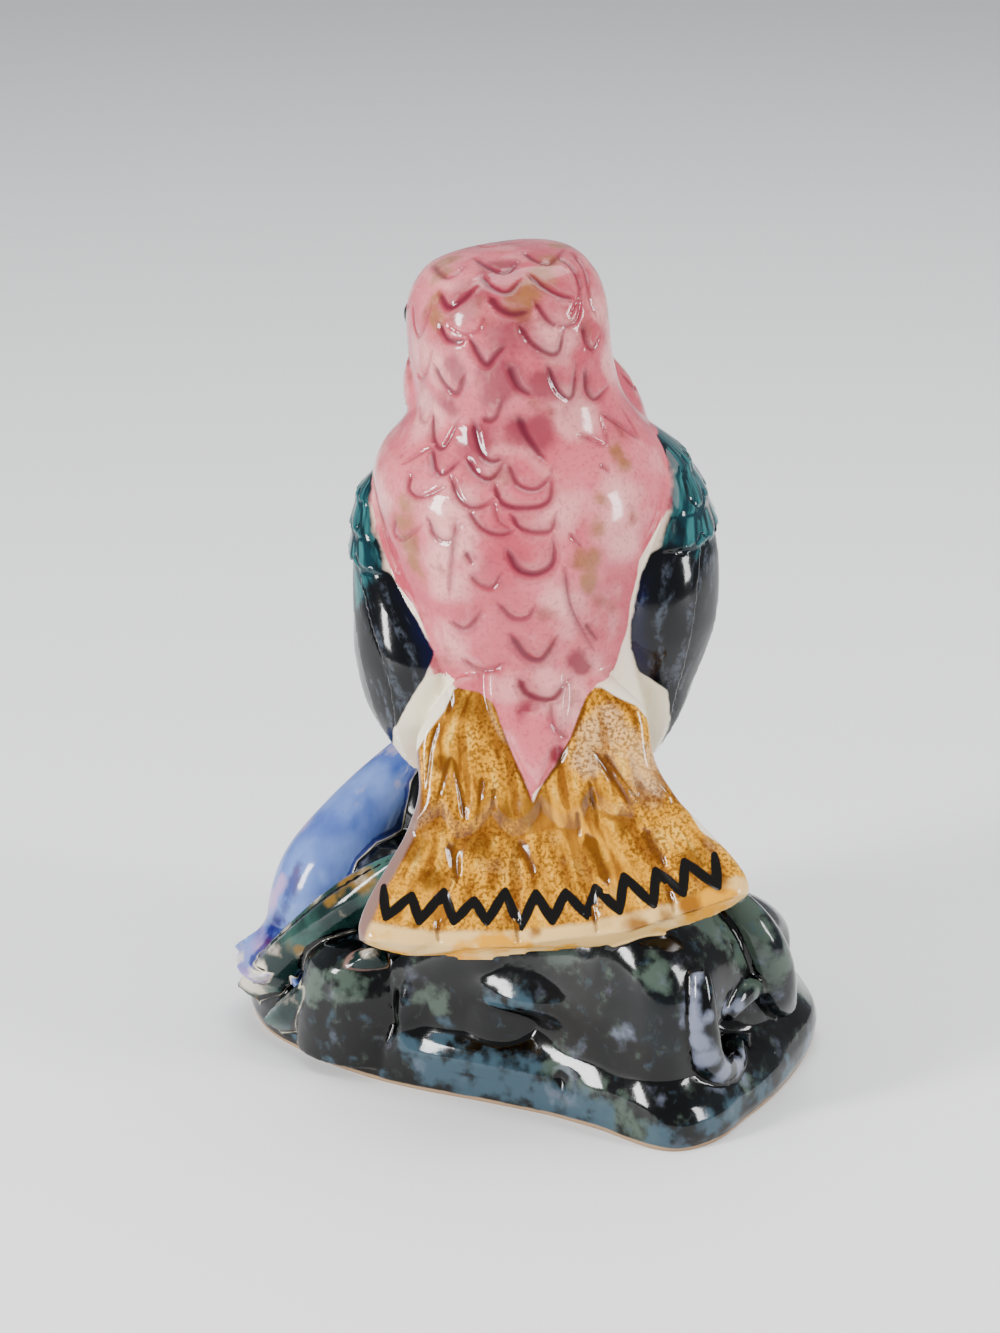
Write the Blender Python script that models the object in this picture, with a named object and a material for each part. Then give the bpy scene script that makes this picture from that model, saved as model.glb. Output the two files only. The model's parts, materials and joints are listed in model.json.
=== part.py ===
"""Glazed pottery hummingbird perched on a rock, with a trumpet flower and leaves.

Metres, +Z up. The origin is the centre of the rock's foot, on the surface that it stands on.
The bird looks along +Y with its head turned to -X, and its tail hangs down the rock towards -Y.
The whole figure was cast as one, so every form below is fused into one solid.
"""

import math

import bmesh
import bpy
from mathutils import Matrix, Vector

# The rock
FOOT_WIDTH = 0.0650
FOOT_DEPTH = 0.0560
FOOT_HEIGHT = 0.0060
ROCK_HEIGHT = 0.0310

# The bird, with its bill's root at a share of its height
BIRD_HEIGHT = 0.0590
BODY_WIDTH = 0.0312
BODY_DEPTH = 0.0312
PERCH_DEPTH = 0.0010
HEAD_TURN = math.radians(16.0)
HEAD_TILT = math.radians(6.0)
BILL_HEIGHT = 0.835
BILL_LENGTH = 0.0200
BILL_ROOT_RADIUS = 0.0021
BILL_TIP_RADIUS = 0.0009
BILL_DROOP = math.radians(22.0)
BILL_SAG = 0.04
BILL_FULLNESS = 1.6
EYE_RADIUS = 0.0017
WING_THICKNESS = 0.0058
FEATHER_STEP = 0.0007

# The tail; a lobe's reach and the rump's point are shares of TAIL_LENGTH
TAIL_LENGTH = 0.0280
TAIL_WIDTH = 0.0420
TAIL_THICKNESS = 0.0038
TAIL_SAG = 0.0012
TAIL_SWING = math.radians(2.5)
TAIL_ROLL = math.radians(6.5)
TAIL_FEATHERS = 5
TAIL_GROOVE = 0.0006
TAIL_COVERT_RISE = 0.0010
TAIL_LOBE = 0.018
RUMP_POINT = 0.45
RUMP_RISE = 0.0009

# The flower and the leaves
FLOWER_LENGTH = 0.0260
FLOWER_MOUTH_WIDTH = 0.0135
FLOWER_CUP_DEPTH = 0.0060
PETALS = 5
LEAF_THICKNESS = 0.0022
LEAF_VEIN = 0.0005

# The feet
TOE_LENGTH = 0.0058
TOE_RADIUS = 0.0012

# Where a foot stands, as shares of the body's width and depth, how far its toes bend down, and the
# toes' headings in degrees
FOOT = (0.17, 0.38, 0.50)
TOE_SPREAD = (-24, 0, 24)

# How finely the fused skin is made
SKIN_CELL = 0.00055
SKIN_ROUNDING_STEPS = 6
SKIN_FACE_SHARE = 0.058
RING_POINTS = 96
BURIED = 0.0030

# Outline of the foot: angle in degrees from +X, and reach as a share of half the foot's width
FOOT_OUTLINE = (
    (4, 1.00),
    (22, 1.00),
    (44, 0.95),
    (68, 0.89),
    (92, 0.86),
    (116, 0.90),
    (140, 0.99),
    (160, 1.01),
    (174, 0.91),
    (188, 0.76),
    (206, 0.62),
    (228, 0.52),
    (252, 0.49),
    (276, 0.56),
    (290, 0.71),
    (299, 0.93),
    (308, 0.97),
    (322, 0.935),
    (342, 0.945),
)

# Height of the rock's shoulder round its outline: angle in degrees, share of ROCK_HEIGHT
ROCK_SHOULDER = (
    (10, 0.46),
    (30, 0.46),
    (70, 0.44),
    (105, 0.42),
    (140, 0.30),
    (175, 0.31),
    (200, 0.46),
    (220, 0.62),
    (245, 0.72),
    (275, 0.75),
    (300, 0.76),
    (335, 0.72),
    (348, 0.56),
)

# Lip of the foot: share of FOOT_HEIGHT, share of the foot's reach
FOOT_LIP = ((0.0, 0.985), (0.2, 1.0), (0.5, 0.995), (0.75, 0.97), (0.95, 0.93))

# Where the rock's side starts above its lip, as a share of FOOT_HEIGHT
SIDE_START = 1.15

# Side of the rock above its lip: share of the rise to the shoulder, share of the foot's reach
ROCK_SIDE = (
    (0.0, 0.90),
    (0.12, 0.905),
    (0.35, 0.91),
    (0.60, 0.885),
    (0.80, 0.82),
    (0.93, 0.71),
    (1.00, 0.55),
    (1.06, 0.30),
    (1.08, 0.03),
)

# Knobs and hollows on the rock's side: angle in degrees, height, half angle, half height and rise,
# with the lengths as shares of ROCK_HEIGHT
ROCK_MARKS = (
    (268, 0.4, 15, 0.058, 0.048),
    (267, 0.284, 13, 0.052, -0.084),
    (250, 0.168, 30, 0.042, 0.035),
    (220, 0.258, 4, 0.097, 0.045),
    (282, 0.129, 3, 0.032, -0.048),
    (327, 0.284, 7, 0.090, -0.129),
    (356, 0.194, 10, 0.097, 0.039),
    (2, 0.323, 5, 0.052, -0.052),
    (20, 0.355, 12, 0.097, 0.045),
    (55, 0.258, 14, 0.077, -0.058),
    (92, 0.339, 15, 0.071, 0.045),
    (120, 0.242, 10, 0.077, -0.052),
)

# Raised ridges on the rock's side: points of angle in degrees and height, and a radius, with the
# lengths as shares of ROCK_HEIGHT
ROCK_RIDGES = (
    (
        ((310, 0.581), (309, 0.484), (309, 0.387), (311, 0.274), (316, 0.194), (323, 0.168), (329, 0.206)),
        0.058,
    ),
    (((335, 0.70), (335, 0.581), (337, 0.452), (340, 0.339), (345, 0.242)), 0.085),
    (((334, 0.387), (327, 0.406), (320, 0.361)), 0.048),
)

# How far a ridge stands out of the rock, as a share of its radius, and how blunt its ends are
RIDGE_STAND = 0.30
RIDGE_ENDS = 0.12

# Boulders fused into the rock: centre and half sizes as shares of the foot's half width and half
# depth, turn in degrees, top as a share of the rock's height, and squareness of the plan
BOULDERS = {
    "core": (0.02, 0.06, 0.45, 0.50, 0, 1.00, 2.4),
    "tail_rest": (0.04, -0.28, 0.36, 0.24, -4, 1.02, 2.3),
    "near_shoulder": (0.36, -0.30, 0.24, 0.22, -30, 0.78, 2.4),
    "right_step": (0.52, 0.14, 0.26, 0.42, 12, 0.60, 2.4),
    "front_step": (0.06, 0.44, 0.44, 0.34, 6, 0.92, 2.3),
    "left_step": (-0.42, 0.26, 0.28, 0.44, 20, 0.72, 2.3),
    "stem_rest": (-0.30, 0.42, 0.20, 0.24, 10, 0.98, 2.3),
    "leaf_rest": (-0.47, -0.10, 0.30, 0.24, 24, 0.50, 2.3),
}

# Side of a boulder: share of its height, share of its plan; and how much its plan waves
BOULDER_SIDE = (
    (0.10, 1.0),
    (0.35, 1.0),
    (0.62, 0.95),
    (0.80, 0.86),
    (0.91, 0.70),
    (0.98, 0.42),
    (1.0, 0.06),
)
BOULDER_WAVE = 0.03

# Body and head, from the perch to the crown: height as a share of BIRD_HEIGHT, side and half
# width as shares of BODY_WIDTH, front and half depth as shares of BODY_DEPTH, squareness
BODY_STATIONS = (
    (-0.06, 0.02, 0.05, 0.25, 0.25, 2.0),
    (0.034, 0.02, 0.06, 0.37, 0.34, 2.1),
    (0.136, 0.03, 0.07, 0.44, 0.37, 2.1),
    (0.237, 0.03, 0.08, 0.46, 0.41, 2.1),
    (0.339, 0.02, 0.085, 0.47, 0.46, 2.1),
    (0.441, 0.01, 0.09, 0.485, 0.50, 2.1),
    (0.525, 0.00, 0.10, 0.502, 0.50, 2.2),
    (0.593, -0.01, 0.105, 0.502, 0.475, 2.25),
    (0.640, -0.015, 0.11, 0.470, 0.43, 2.25),
    (0.680, -0.025, 0.115, 0.405, 0.385, 2.2),
    (0.725, -0.035, 0.115, 0.348, 0.355, 2.3),
    (0.780, -0.050, 0.115, 0.330, 0.350, 2.4),
    (0.840, -0.050, 0.125, 0.325, 0.350, 2.6),
    (0.900, -0.045, 0.125, 0.316, 0.330, 2.7),
    (0.948, -0.040, 0.120, 0.282, 0.280, 2.6),
    (0.980, -0.036, 0.115, 0.205, 0.195, 2.4),
    (0.993, -0.034, 0.112, 0.03, 0.03, 2.0),
)

# Fullness of the breast: side, front and height as the stations state them, and its half sizes as
# shares of BODY_WIDTH
BREAST = (0.075, 0.27, 0.61, 0.353, 0.314, 0.401)

# Eyes: height as a share of BIRD_HEIGHT, degrees from the bill, and depth as a share of their radius
EYES = (0.865, 44, 0.45)

# Fullness of each cheek: height, degrees from the bill, radius and rise as shares of BODY_WIDTH
CHEEK = (0.745, 62, 0.16, -0.119)
NECK_LOW = 0.60
NECK_HIGH = 0.80

# Folded wings, from the shoulder to the tip: share of the wing's length, rise of the outer face
# as a share of WING_THICKNESS, and where its rear and front edges lie, in degrees from the spine
WING_TOP = {1: 0.660, -1: 0.585}
WING_TIP = {1: 0.075, -1: 0.050}
WING_STATIONS = {
    1: (
        (0.00, 0.02, 86, 104),
        (0.10, 0.32, 73, 120),
        (0.235, 0.62, 57, 131),
        (0.35, 0.84, 47, 133),
        (0.53, 0.90, 43, 127),
        (0.64, 0.74, 47, 118),
        (0.76, 0.50, 54, 107),
        (0.88, 0.32, 62, 97),
        (1.00, 0.14, 72, 86),
    ),
    -1: (
        (0.00, 0.02, 92, 106),
        (0.10, 0.32, 84, 120),
        (0.25, 0.55, 70, 130),
        (0.40, 0.68, 53, 132),
        (0.53, 0.76, 43, 127),
        (0.62, 0.78, 42, 119),
        (0.76, 0.68, 48, 107),
        (0.88, 0.46, 60, 97),
        (1.00, 0.20, 71, 86),
    ),
}
COVERT_END = 0.28
COVERT_ROWS = 3
COVERT_SCALLOP = 0.35
LONG_FEATHERS = 5

# How flat and how steep-sided a wing is across, and where its feathers start to stand out
WING_SHELL = (3.2, 0.6)
WING_ROOT = 0.08

# Tail, from the rump to the end: share of its length, slope below level in degrees, half width as
# a share of half of TAIL_WIDTH, thickness as a share of TAIL_THICKNESS
TAIL_STATIONS = (
    (0.00, 66, 0.34, 3.2),
    (0.10, 66, 0.46, 3.0),
    (0.22, 65, 0.565, 2.6),
    (0.44, 62, 0.59, 1.9),
    (0.58, 58, 0.665, 1.5),
    (0.72, 54, 0.79, 1.2),
    (0.85, 49, 0.905, 1.0),
    (0.94, 46, 0.96, 1.0),
    (1.00, 44, 0.965, 1.0),
)
TAIL_ROOT = (-0.005, -0.295, 0.288)

# Where the coverts over the tail end, how far their fringe waves, how much shorter the tail is at its
# sides, as shares of its length, and how far its edge is rounded, as a share of its thickness
COVERT_FRINGE = (0.50, 0.10)
TAIL_ROUNDING = 0.10
TAIL_EDGE = 0.35

# The trumpet flower: its mouth as on_rock takes it, the way it faces, its radius as a share of half
# the mouth's width at shares of FLOWER_LENGTH back from the mouth, and how far its stem bends, as
# shares of FLOWER_LENGTH
FLOWER_MOUTH = (-0.738, 0.20, 0.355)
FLOWER_FACING = (-0.28, -0.12, -0.95)
FLOWER_STATIONS = (
    (0.00, 0.72),
    (0.12, 0.80),
    (0.30, 0.84),
    (0.55, 0.68),
    (0.80, 0.50),
    (1.00, 0.36),
)
FLOWER_BEND = (0.327, 0.21, -0.123)

# The flower's cup: depth as a share of FLOWER_CUP_DEPTH, radius as a share of the tube's at the mouth
CUP_STATIONS = ((0.25, 0.74), (0.6, 0.5), (1.0, 0.08))
PETAL_LENGTH = 0.0064
PETAL_THICKNESS = 0.0020
PETAL_OPENING = math.radians(6)
PETAL_CURL = math.radians(24)

# How pointed a leaf is: its width's share at its ends, and where along it the swelling starts
LEAF_ENDS = 0.10
LEAF_START = 0.06

# Leaves on the rock: a line from stalk to tip as on_rock takes it, and the half width at its widest
# as a share of FOOT_WIDTH
LEAVES = {
    "near_leaf": (
        ((-0.369, -0.179, 0.758), (-0.6, -0.125, 0.581), (-0.806, -0.018, 0.339), (-0.938, 0.143, 0.113)),
        0.040,
    ),
    "low_leaf": (
        ((-0.462, -0.304, 0.452), (-0.631, -0.221, 0.323), (-0.769, -0.107, 0.161), (-0.837, -0.018, 0.048)),
        0.030,
    ),
    "front_leaf": (
        ((-0.123, 0.64, 0.613), (0.154, 0.74, 0.542), (0.425, 0.77, 0.403), (0.64, 0.78, 0.194)),
        0.08,
    ),
}


def follow(stations, share):
    """Values at a share, on a smooth curve through rows of (share, value, value, ...)."""
    last = len(stations) - 1
    share = min(max(share, stations[0][0]), stations[last][0])
    i = max(k for k in range(last) if stations[k][0] <= share)
    row0, row1 = stations[max(i - 1, 0)], stations[i]
    row2, row3 = stations[i + 1], stations[min(i + 2, last)]
    gap = row2[0] - row1[0]
    t = (share - row1[0]) / gap
    values = []
    for v0, v1, v2, v3 in zip(row0[1:], row1[1:], row2[1:], row3[1:]):
        slope1 = (v2 - v0) / max(row2[0] - row0[0], 1e-9) * gap
        slope2 = (v3 - v1) / max(row3[0] - row1[0], 1e-9) * gap
        values.append(
            v1 * (2 * t**3 - 3 * t**2 + 1)
            + slope1 * (t**3 - 2 * t**2 + t)
            + v2 * (3 * t**2 - 2 * t**3)
            + slope2 * (t**3 - t**2)
        )
    return values


def ease(low, high, value):
    """0 below low, 1 above high, with a smooth rise between them."""
    t = min(max((value - low) / (high - low), 0.0), 1.0)
    return t * t * (3 - 2 * t)


def superellipse(angle, half_x, half_y, squareness):
    """Point of a rounded rectangle-like oval, at an angle from +X."""
    c, s = math.cos(angle), math.sin(angle)
    reach = (abs(c / half_x) ** squareness + abs(s / half_y) ** squareness) ** (-1 / squareness)
    return reach * c, reach * s


def loft(form, rings):
    """Adds a closed skin through rings of equal length to the bmesh, with its ends filled."""
    made = [[form.verts.new(p) for p in ring] for ring in rings]
    for low, high in zip(made, made[1:]):
        for k in range(len(low)):
            n = (k + 1) % len(low)
            form.faces.new((low[k], low[n], high[n], high[k]))
    form.faces.new(list(reversed(made[0])))
    form.faces.new(made[-1])


def ring_angles(count=RING_POINTS):
    """Angles of a ring's points, once round."""
    return [2 * math.pi * k / count for k in range(count)]


def around(table, angle):
    """Values from a table of (angle in degrees, value, ...) that closes on itself."""
    turns = [(a + lap * 360, *values) for lap in (-1, 0, 1) for a, *values in table]
    return follow(turns, math.degrees(angle) % 360)


def rock_marks(angle, height):
    """How far the knobs and hollows move the rock's side out at an angle and a height."""
    rise = 0.0
    for mark_angle, mark_height, half_angle, half_height, amount in ROCK_MARKS:
        off = (math.degrees(angle) - mark_angle + 180) % 360 - 180
        up = (height / ROCK_HEIGHT - mark_height) / half_height
        rise += amount * ROCK_HEIGHT * math.exp(-((off / half_angle) ** 2) - up**2)
    return rise


def rock_point(angle, reach_share, height):
    """Point of the rock's side, with its knobs and hollows."""
    reach = around(FOOT_OUTLINE, angle)[0] * FOOT_WIDTH / 2 * reach_share + rock_marks(angle, height)
    return Vector((math.cos(angle) * reach, math.sin(angle) * reach, height))


def rock_side(angle, height):
    """Point of the rock's side above its lip, at an angle and a height."""
    low = SIDE_START * FOOT_HEIGHT
    shoulder = around(ROCK_SHOULDER, angle)[0] * ROCK_HEIGHT
    return rock_point(angle, follow(ROCK_SIDE, (height - low) / (shoulder - low))[0], height)


def add_rock(form):
    """The rock's skin: a rounded lip at its foot, a crease, and its side up to its shoulder."""
    angles = ring_angles(2 * RING_POINTS)
    rings = []
    for share, reach in ((-BURIED / FOOT_HEIGHT, FOOT_LIP[0][1]), *FOOT_LIP):
        rings.append([rock_point(a, reach, share * FOOT_HEIGHT) for a in angles])
    low = SIDE_START * FOOT_HEIGHT
    steps = 34
    for k in range(steps + 1):
        rise = ROCK_SIDE[-1][0] * k / steps
        reach = follow(ROCK_SIDE, rise)[0]
        heights = [low + rise * (around(ROCK_SHOULDER, a)[0] * ROCK_HEIGHT - low) for a in angles]
        rings.append([rock_point(a, reach, h) for a, h in zip(angles, heights)])
    loft(form, rings)


def add_ridges(form):
    """Raised ridges that run over the rock's side."""
    for line, radius in ROCK_RIDGES:
        rows = [(k, math.radians(a), h * ROCK_HEIGHT) for k, (a, h) in enumerate(line)]
        steps = 4 * (len(line) - 1)
        path = [rock_side(*follow(rows, k / 4)) for k in range(steps + 1)]
        path = [point * (1 + RIDGE_STAND * radius * ROCK_HEIGHT / point.length) for point in path]
        rounded = [RIDGE_ENDS + (1 - 2 * RIDGE_ENDS) * k / steps for k in range(steps + 1)]
        radii = [radius * ROCK_HEIGHT * math.sin(math.pi * share) ** 0.5 for share in rounded]
        add_tube(form, path, radii, 16)


def on_rock(shares):
    """Point at shares of the foot's half width, of its half depth and of the rock's height."""
    side, front, height = shares
    return Vector((side * FOOT_WIDTH / 2, front * FOOT_DEPTH / 2, height * ROCK_HEIGHT))


def add_boulder(form, row, phase):
    """One boulder of the rock: an oval block with a rounded top and a gently waved side."""
    x, y, half_x, half_y, turn, top, squareness = row
    centre = Vector((x * FOOT_WIDTH / 2, y * FOOT_DEPTH / 2, 0))
    half_x *= FOOT_WIDTH / 2
    half_y *= FOOT_DEPTH / 2
    top *= ROCK_HEIGHT
    turned = Matrix.Rotation(math.radians(turn), 3, "Z")
    rings = []
    for share, reach in BOULDER_SIDE:
        ring = []
        for a in ring_angles(48):
            waves = math.sin(3 * a + phase + 2.2 * share) + math.sin(5 * a - phase)
            wave = reach * (1 + BOULDER_WAVE * waves)
            px, py = superellipse(a, half_x * wave, half_y * wave, squareness)
            ring.append(centre + turned @ Vector((px, py, share * top)))
        rings.append(ring)
    loft(form, rings)


def perch():
    """Height of the bird's lowest point, a little inside the top of the rock."""
    return ROCK_HEIGHT - PERCH_DEPTH


def turn_head(point, share):
    """Turns and tilts a point of the bird with its head, more and more from the neck up."""
    amount = ease(NECK_LOW, NECK_HIGH, share)
    side, front = follow(BODY_STATIONS, NECK_HIGH)[:2]
    pivot = Vector((side * BODY_WIDTH, front * BODY_DEPTH, perch() + NECK_HIGH * BIRD_HEIGHT))
    turned = Matrix.Rotation(HEAD_TURN * amount, 3, "Z") @ Matrix.Rotation(-HEAD_TILT * amount, 3, "Y")
    return pivot + turned @ (point - pivot)


def body_point(share, from_spine, rise=0.0):
    """Point of the bird's skin at a share of its height and an angle from the spine, towards +X."""
    side, front, half_width, half_depth, squareness = follow(BODY_STATIONS, share)
    x, y = superellipse(
        from_spine - math.pi / 2,
        half_width * BODY_WIDTH + rise,
        half_depth * BODY_DEPTH + rise,
        squareness,
    )
    point = Vector((side * BODY_WIDTH + x, front * BODY_DEPTH + y, perch() + share * BIRD_HEIGHT))
    return turn_head(point, share)


def add_body(form):
    """Body and head as one skin, from the perch to the crown."""
    low, high = BODY_STATIONS[0][0], BODY_STATIONS[-1][0]
    count = 72
    shares = [low + (high - low) * math.sin(math.pi / 2 * k / count) for k in range(count + 1)]
    loft(form, [[body_point(s, a) for a in ring_angles()] for s in shares])


def face_frame():
    """Where the bill leaves the head, and the way it points."""
    root = body_point(BILL_HEIGHT, math.pi, -2 * BILL_ROOT_RADIUS)
    ahead = Matrix.Rotation(HEAD_TURN, 3, "Z") @ Vector((0, math.cos(BILL_DROOP), -math.sin(BILL_DROOP)))
    return root, ahead


def add_tube(form, path, radii, count=24):
    """A round tube along a path, with a radius at each point."""
    rings = []
    for i, (point, radius) in enumerate(zip(path, radii)):
        along = (path[min(i + 1, len(path) - 1)] - path[max(i - 1, 0)]).normalized()
        turned = along.to_track_quat("Z", "Y").to_matrix()
        circle = [Vector((radius * math.cos(a), radius * math.sin(a), 0)) for a in ring_angles(count)]
        rings.append([point + turned @ place for place in circle])
    loft(form, rings)


def add_bill(form):
    """The bill, with a fuller root where it joins the face."""
    root, ahead = face_frame()
    reach = BILL_LENGTH + 2 * BILL_ROOT_RADIUS
    steps = 14
    path, radii = [], []
    for k in range(steps + 1):
        share = k / steps
        path.append(root + ahead * reach * share + Vector((0, 0, -BILL_SAG * reach * share * share)))
        fuller = BILL_FULLNESS * BILL_ROOT_RADIUS * (1 - ease(0.0, 0.35, share))
        radii.append(BILL_ROOT_RADIUS + (BILL_TIP_RADIUS - BILL_ROOT_RADIUS) * share + fuller)
    radii[-1] *= 0.6
    add_tube(form, path, radii)


def add_ball(form, centre, radii):
    """A ball or an egg, at a place."""
    place = Matrix.Translation(centre) @ Matrix.Diagonal((*radii, 1))
    bmesh.ops.create_uvsphere(form, u_segments=24, v_segments=16, radius=1.0, matrix=place)


def add_face(form):
    """A low dome for each eye, and the fullness of each cheek below it."""
    share, from_bill, radius, rise = CHEEK
    eye_share, eye_from_bill, sunk = EYES
    for side in (-1, 1):
        eye = body_point(eye_share, math.pi - side * math.radians(eye_from_bill), -sunk * EYE_RADIUS)
        add_ball(form, eye, (EYE_RADIUS, EYE_RADIUS, EYE_RADIUS))
        cheek = body_point(share, math.pi - side * math.radians(from_bill), rise * BODY_WIDTH)
        add_ball(form, cheek, [radius * BODY_WIDTH * full for full in (1.0, 1.0, 1.3)])


def add_breast(form):
    """The full breast, which shows past the neck on one side."""
    side, front, share, *half_sizes = BREAST
    centre = Vector((side * BODY_WIDTH, front * BODY_DEPTH, perch() + share * BIRD_HEIGHT))
    add_ball(form, centre, [half_size * BODY_WIDTH for half_size in half_sizes])


def wing_rise(across, along, peak):
    """Height of a wing's outer face over the body: a rounded shell, with its feathers stepped."""
    flatness, steepness = WING_SHELL
    shell = peak * max(1 - abs(2 * across - 1) ** flatness, 0.0) ** steepness
    step = FEATHER_STEP * ease(0.0, WING_ROOT, along)
    if along < COVERT_END:
        row = along / COVERT_END * COVERT_ROWS
        slot = (across * (LONG_FEATHERS + 1) + 0.5 * (int(row) % 2)) % 1.0
        edge = row % 1.0 - COVERT_SCALLOP * (2 * slot - 1) ** 2
        return shell + step * (0.6 + 0.6 * edge)
    slot = (across * LONG_FEATHERS) % 1.0
    return shell + step * (slot - 0.6)


def add_wing(form, side):
    """A folded wing: a feathered shell that wraps the flank, from the shoulder to the tip."""
    rows, columns = 46, 30
    rings = []
    for i in range(rows + 1):
        along = i / rows
        peak, rear, front = follow(WING_STATIONS[side], along)
        share = WING_TOP[side] + (WING_TIP[side] - WING_TOP[side]) * along
        outer, inner = [], []
        for k in range(columns + 1):
            across = k / columns
            angle = side * math.radians(rear + (front - rear) * across)
            outer.append(body_point(share, angle, wing_rise(across, along, peak * WING_THICKNESS)))
            inner.append(body_point(share, angle, -BURIED))
        ring = outer + list(reversed(inner))
        rings.append(ring if side > 0 else list(reversed(ring)))
    loft(form, rings)


def tail_line(share):
    """Point of the tail's middle line and the way it runs there, before the tail's swing."""
    steps = max(int(share * 40), 1)
    point = Vector((0, 0, 0))
    for k in range(steps):
        slope = math.radians(follow(TAIL_STATIONS, share * (k + 0.5) / steps)[0])
        point += Vector((0, -math.cos(slope), -math.sin(slope))) * TAIL_LENGTH * share / steps
    slope = math.radians(follow(TAIL_STATIONS, share)[0])
    return point, Vector((0, -math.cos(slope), -math.sin(slope)))


def tail_place():
    """Placing of the tail: at the rump, swung to one side and rolled."""
    x, y, z = TAIL_ROOT
    root = Vector((x * BODY_WIDTH, y * BODY_DEPTH, perch() + z * BIRD_HEIGHT))
    swing = Matrix.Rotation(TAIL_SWING, 4, "Z")
    roll = Matrix.Rotation(-TAIL_ROLL, 4, "Y")
    return Matrix.Translation(root) @ swing @ roll


def tail_rise(across, share):
    """Relief of the tail's upper face: its grooves, the coverts over them, and the rump's point."""
    lane = abs(math.sin(math.pi * TAIL_FEATHERS * (across + 1) / 2))
    groove = -TAIL_GROOVE * (1 - lane) ** 2 * ease(0.1, 0.5, share)
    fingers = COVERT_FRINGE[0] + COVERT_FRINGE[1] * abs(math.sin(TAIL_FEATHERS / 2 * math.pi * across))
    covert = TAIL_COVERT_RISE * (1 - ease(fingers - 0.06, fingers + 0.02, share))
    point = RUMP_POINT * (1 - abs(across) / 0.55)
    rump = RUMP_RISE * ease(-0.03, 0.05, point - share)
    return groove + covert + rump


def tail_skin(across, share):
    """Points of the tail's upper and lower face, from -1 to 1 across and from the rump to its end."""
    lobes = TAIL_LOBE * abs(math.sin(math.pi * TAIL_FEATHERS * (across + 1) / 2))
    reach = share * (1 - TAIL_ROUNDING * across**2 + lobes)
    point, along = tail_line(min(reach, 1.0))
    half_width, full = follow(TAIL_STATIONS, share)[1:]
    normal = Vector((1, 0, 0)).cross(along).normalized() * -1
    edge = max(1 - abs(across) ** 10, 0.0) ** 0.5
    point = point + Vector((across * half_width * TAIL_WIDTH / 2, 0, 0))
    sag = -TAIL_SAG * (1 - across**2) * ease(0.3, 1.0, share)
    inset = TAIL_THICKNESS * TAIL_EDGE * (1 - edge)
    under = TAIL_THICKNESS * (1 + (full - 1) * (1 - abs(across) ** 3))
    return point + normal * (tail_rise(across, share) + sag - inset), point + normal * (sag - under + inset)


def add_tail(form):
    """The fanned tail: a thick plate with a waved end."""
    place = tail_place()
    rows, columns = 44, 72
    rings = []
    for i in range(rows + 1):
        faces = [tail_skin(2 * k / columns - 1, i / rows) for k in range(columns + 1)]
        ring = [upper for upper, lower in faces] + [lower for upper, lower in reversed(faces)]
        rings.append([place @ point for point in ring])
    loft(form, rings)


def flower_skin():
    """Rings of the flower, from its stem out over the petals and back into its cup.

    Each is (share of FLOWER_LENGTH back from the mouth, radius, share of a petal's length, inside).
    """
    half = FLOWER_MOUTH_WIDTH / 2
    tube = FLOWER_STATIONS[0][1] * half
    steps = 16
    rings = []
    for k in range(steps):
        back = 1 - k / steps
        rings.append((back, follow(FLOWER_STATIONS, back)[0] * half, 0.0, False))
    for k in range(7):
        rings.append((0.0, tube, k / 6, False))
    for k in range(6, -1, -1):
        rings.append((0.0, tube, k / 6, True))
    for depth, narrowing in CUP_STATIONS:
        rings.append((FLOWER_CUP_DEPTH / FLOWER_LENGTH * depth, tube * narrowing, 0.0, True))
    return rings


def add_flower(form):
    """The trumpet flower: a tapered tube that opens into petals round its mouth."""
    mouth = on_rock(FLOWER_MOUTH)
    frame = Vector(FLOWER_FACING).normalized().to_track_quat("Z", "Y").to_matrix()
    rings = []
    for back, radius, petal, inside in flower_skin():
        opening = PETAL_OPENING + PETAL_CURL * petal
        ring = []
        for a in ring_angles(80):
            lobe = abs(math.cos(PETALS * a / 2))
            reach = PETAL_LENGTH * (0.45 + 0.55 * lobe**0.7) * petal
            out = radius + reach * math.sin(opening)
            forward = reach * math.cos(opening) - FLOWER_LENGTH * back
            if inside:
                out -= PETAL_THICKNESS * math.cos(opening)
                forward += PETAL_THICKNESS * math.sin(opening)
            bend = Vector(FLOWER_BEND) * FLOWER_LENGTH * back * back
            ring.append(mouth + bend + frame @ Vector((out * math.cos(a), out * math.sin(a), forward)))
        rings.append(ring)
    loft(form, rings)


def leaf_point(line, share):
    """Point on a leaf's middle line."""
    rows = [(k / (len(line) - 1), *on_rock(p)) for k, p in enumerate(line)]
    return Vector(follow(rows, share))


def add_leaf(form, line, half_width):
    """A leaf that lies over the rock, arched across, with a groove along its middle."""
    rows, columns = 28, 16
    rings = []
    for i in range(rows + 1):
        share = i / rows
        point = leaf_point(line, share)
        along = leaf_point(line, min(share + 0.02, 1)) - leaf_point(line, max(share - 0.02, 0))
        outward = Vector((point.x, point.y, 0.6 * math.hypot(point.x, point.y)))
        across_way = along.cross(outward).normalized()
        up = across_way.cross(along).normalized()
        full = math.sin(math.pi * min(LEAF_START + (1 - LEAF_START) * share**0.8, 0.985)) ** 0.8
        width = half_width * FOOT_WIDTH * (LEAF_ENDS + (1 - LEAF_ENDS) * full)
        upper, lower = [], []
        for k in range(columns + 1):
            across = 2 * k / columns - 1
            arch = LEAF_THICKNESS * (1 - across**2) ** 0.5
            vein = -LEAF_VEIN * max(1 - abs(across) * 5, 0)
            upper.append(point + across_way * across * width + up * (arch + vein))
            lower.append(point + across_way * across * width * 0.8 - up * LEAF_THICKNESS)
        rings.append(upper + list(reversed(lower)))
    loft(form, rings)


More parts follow.
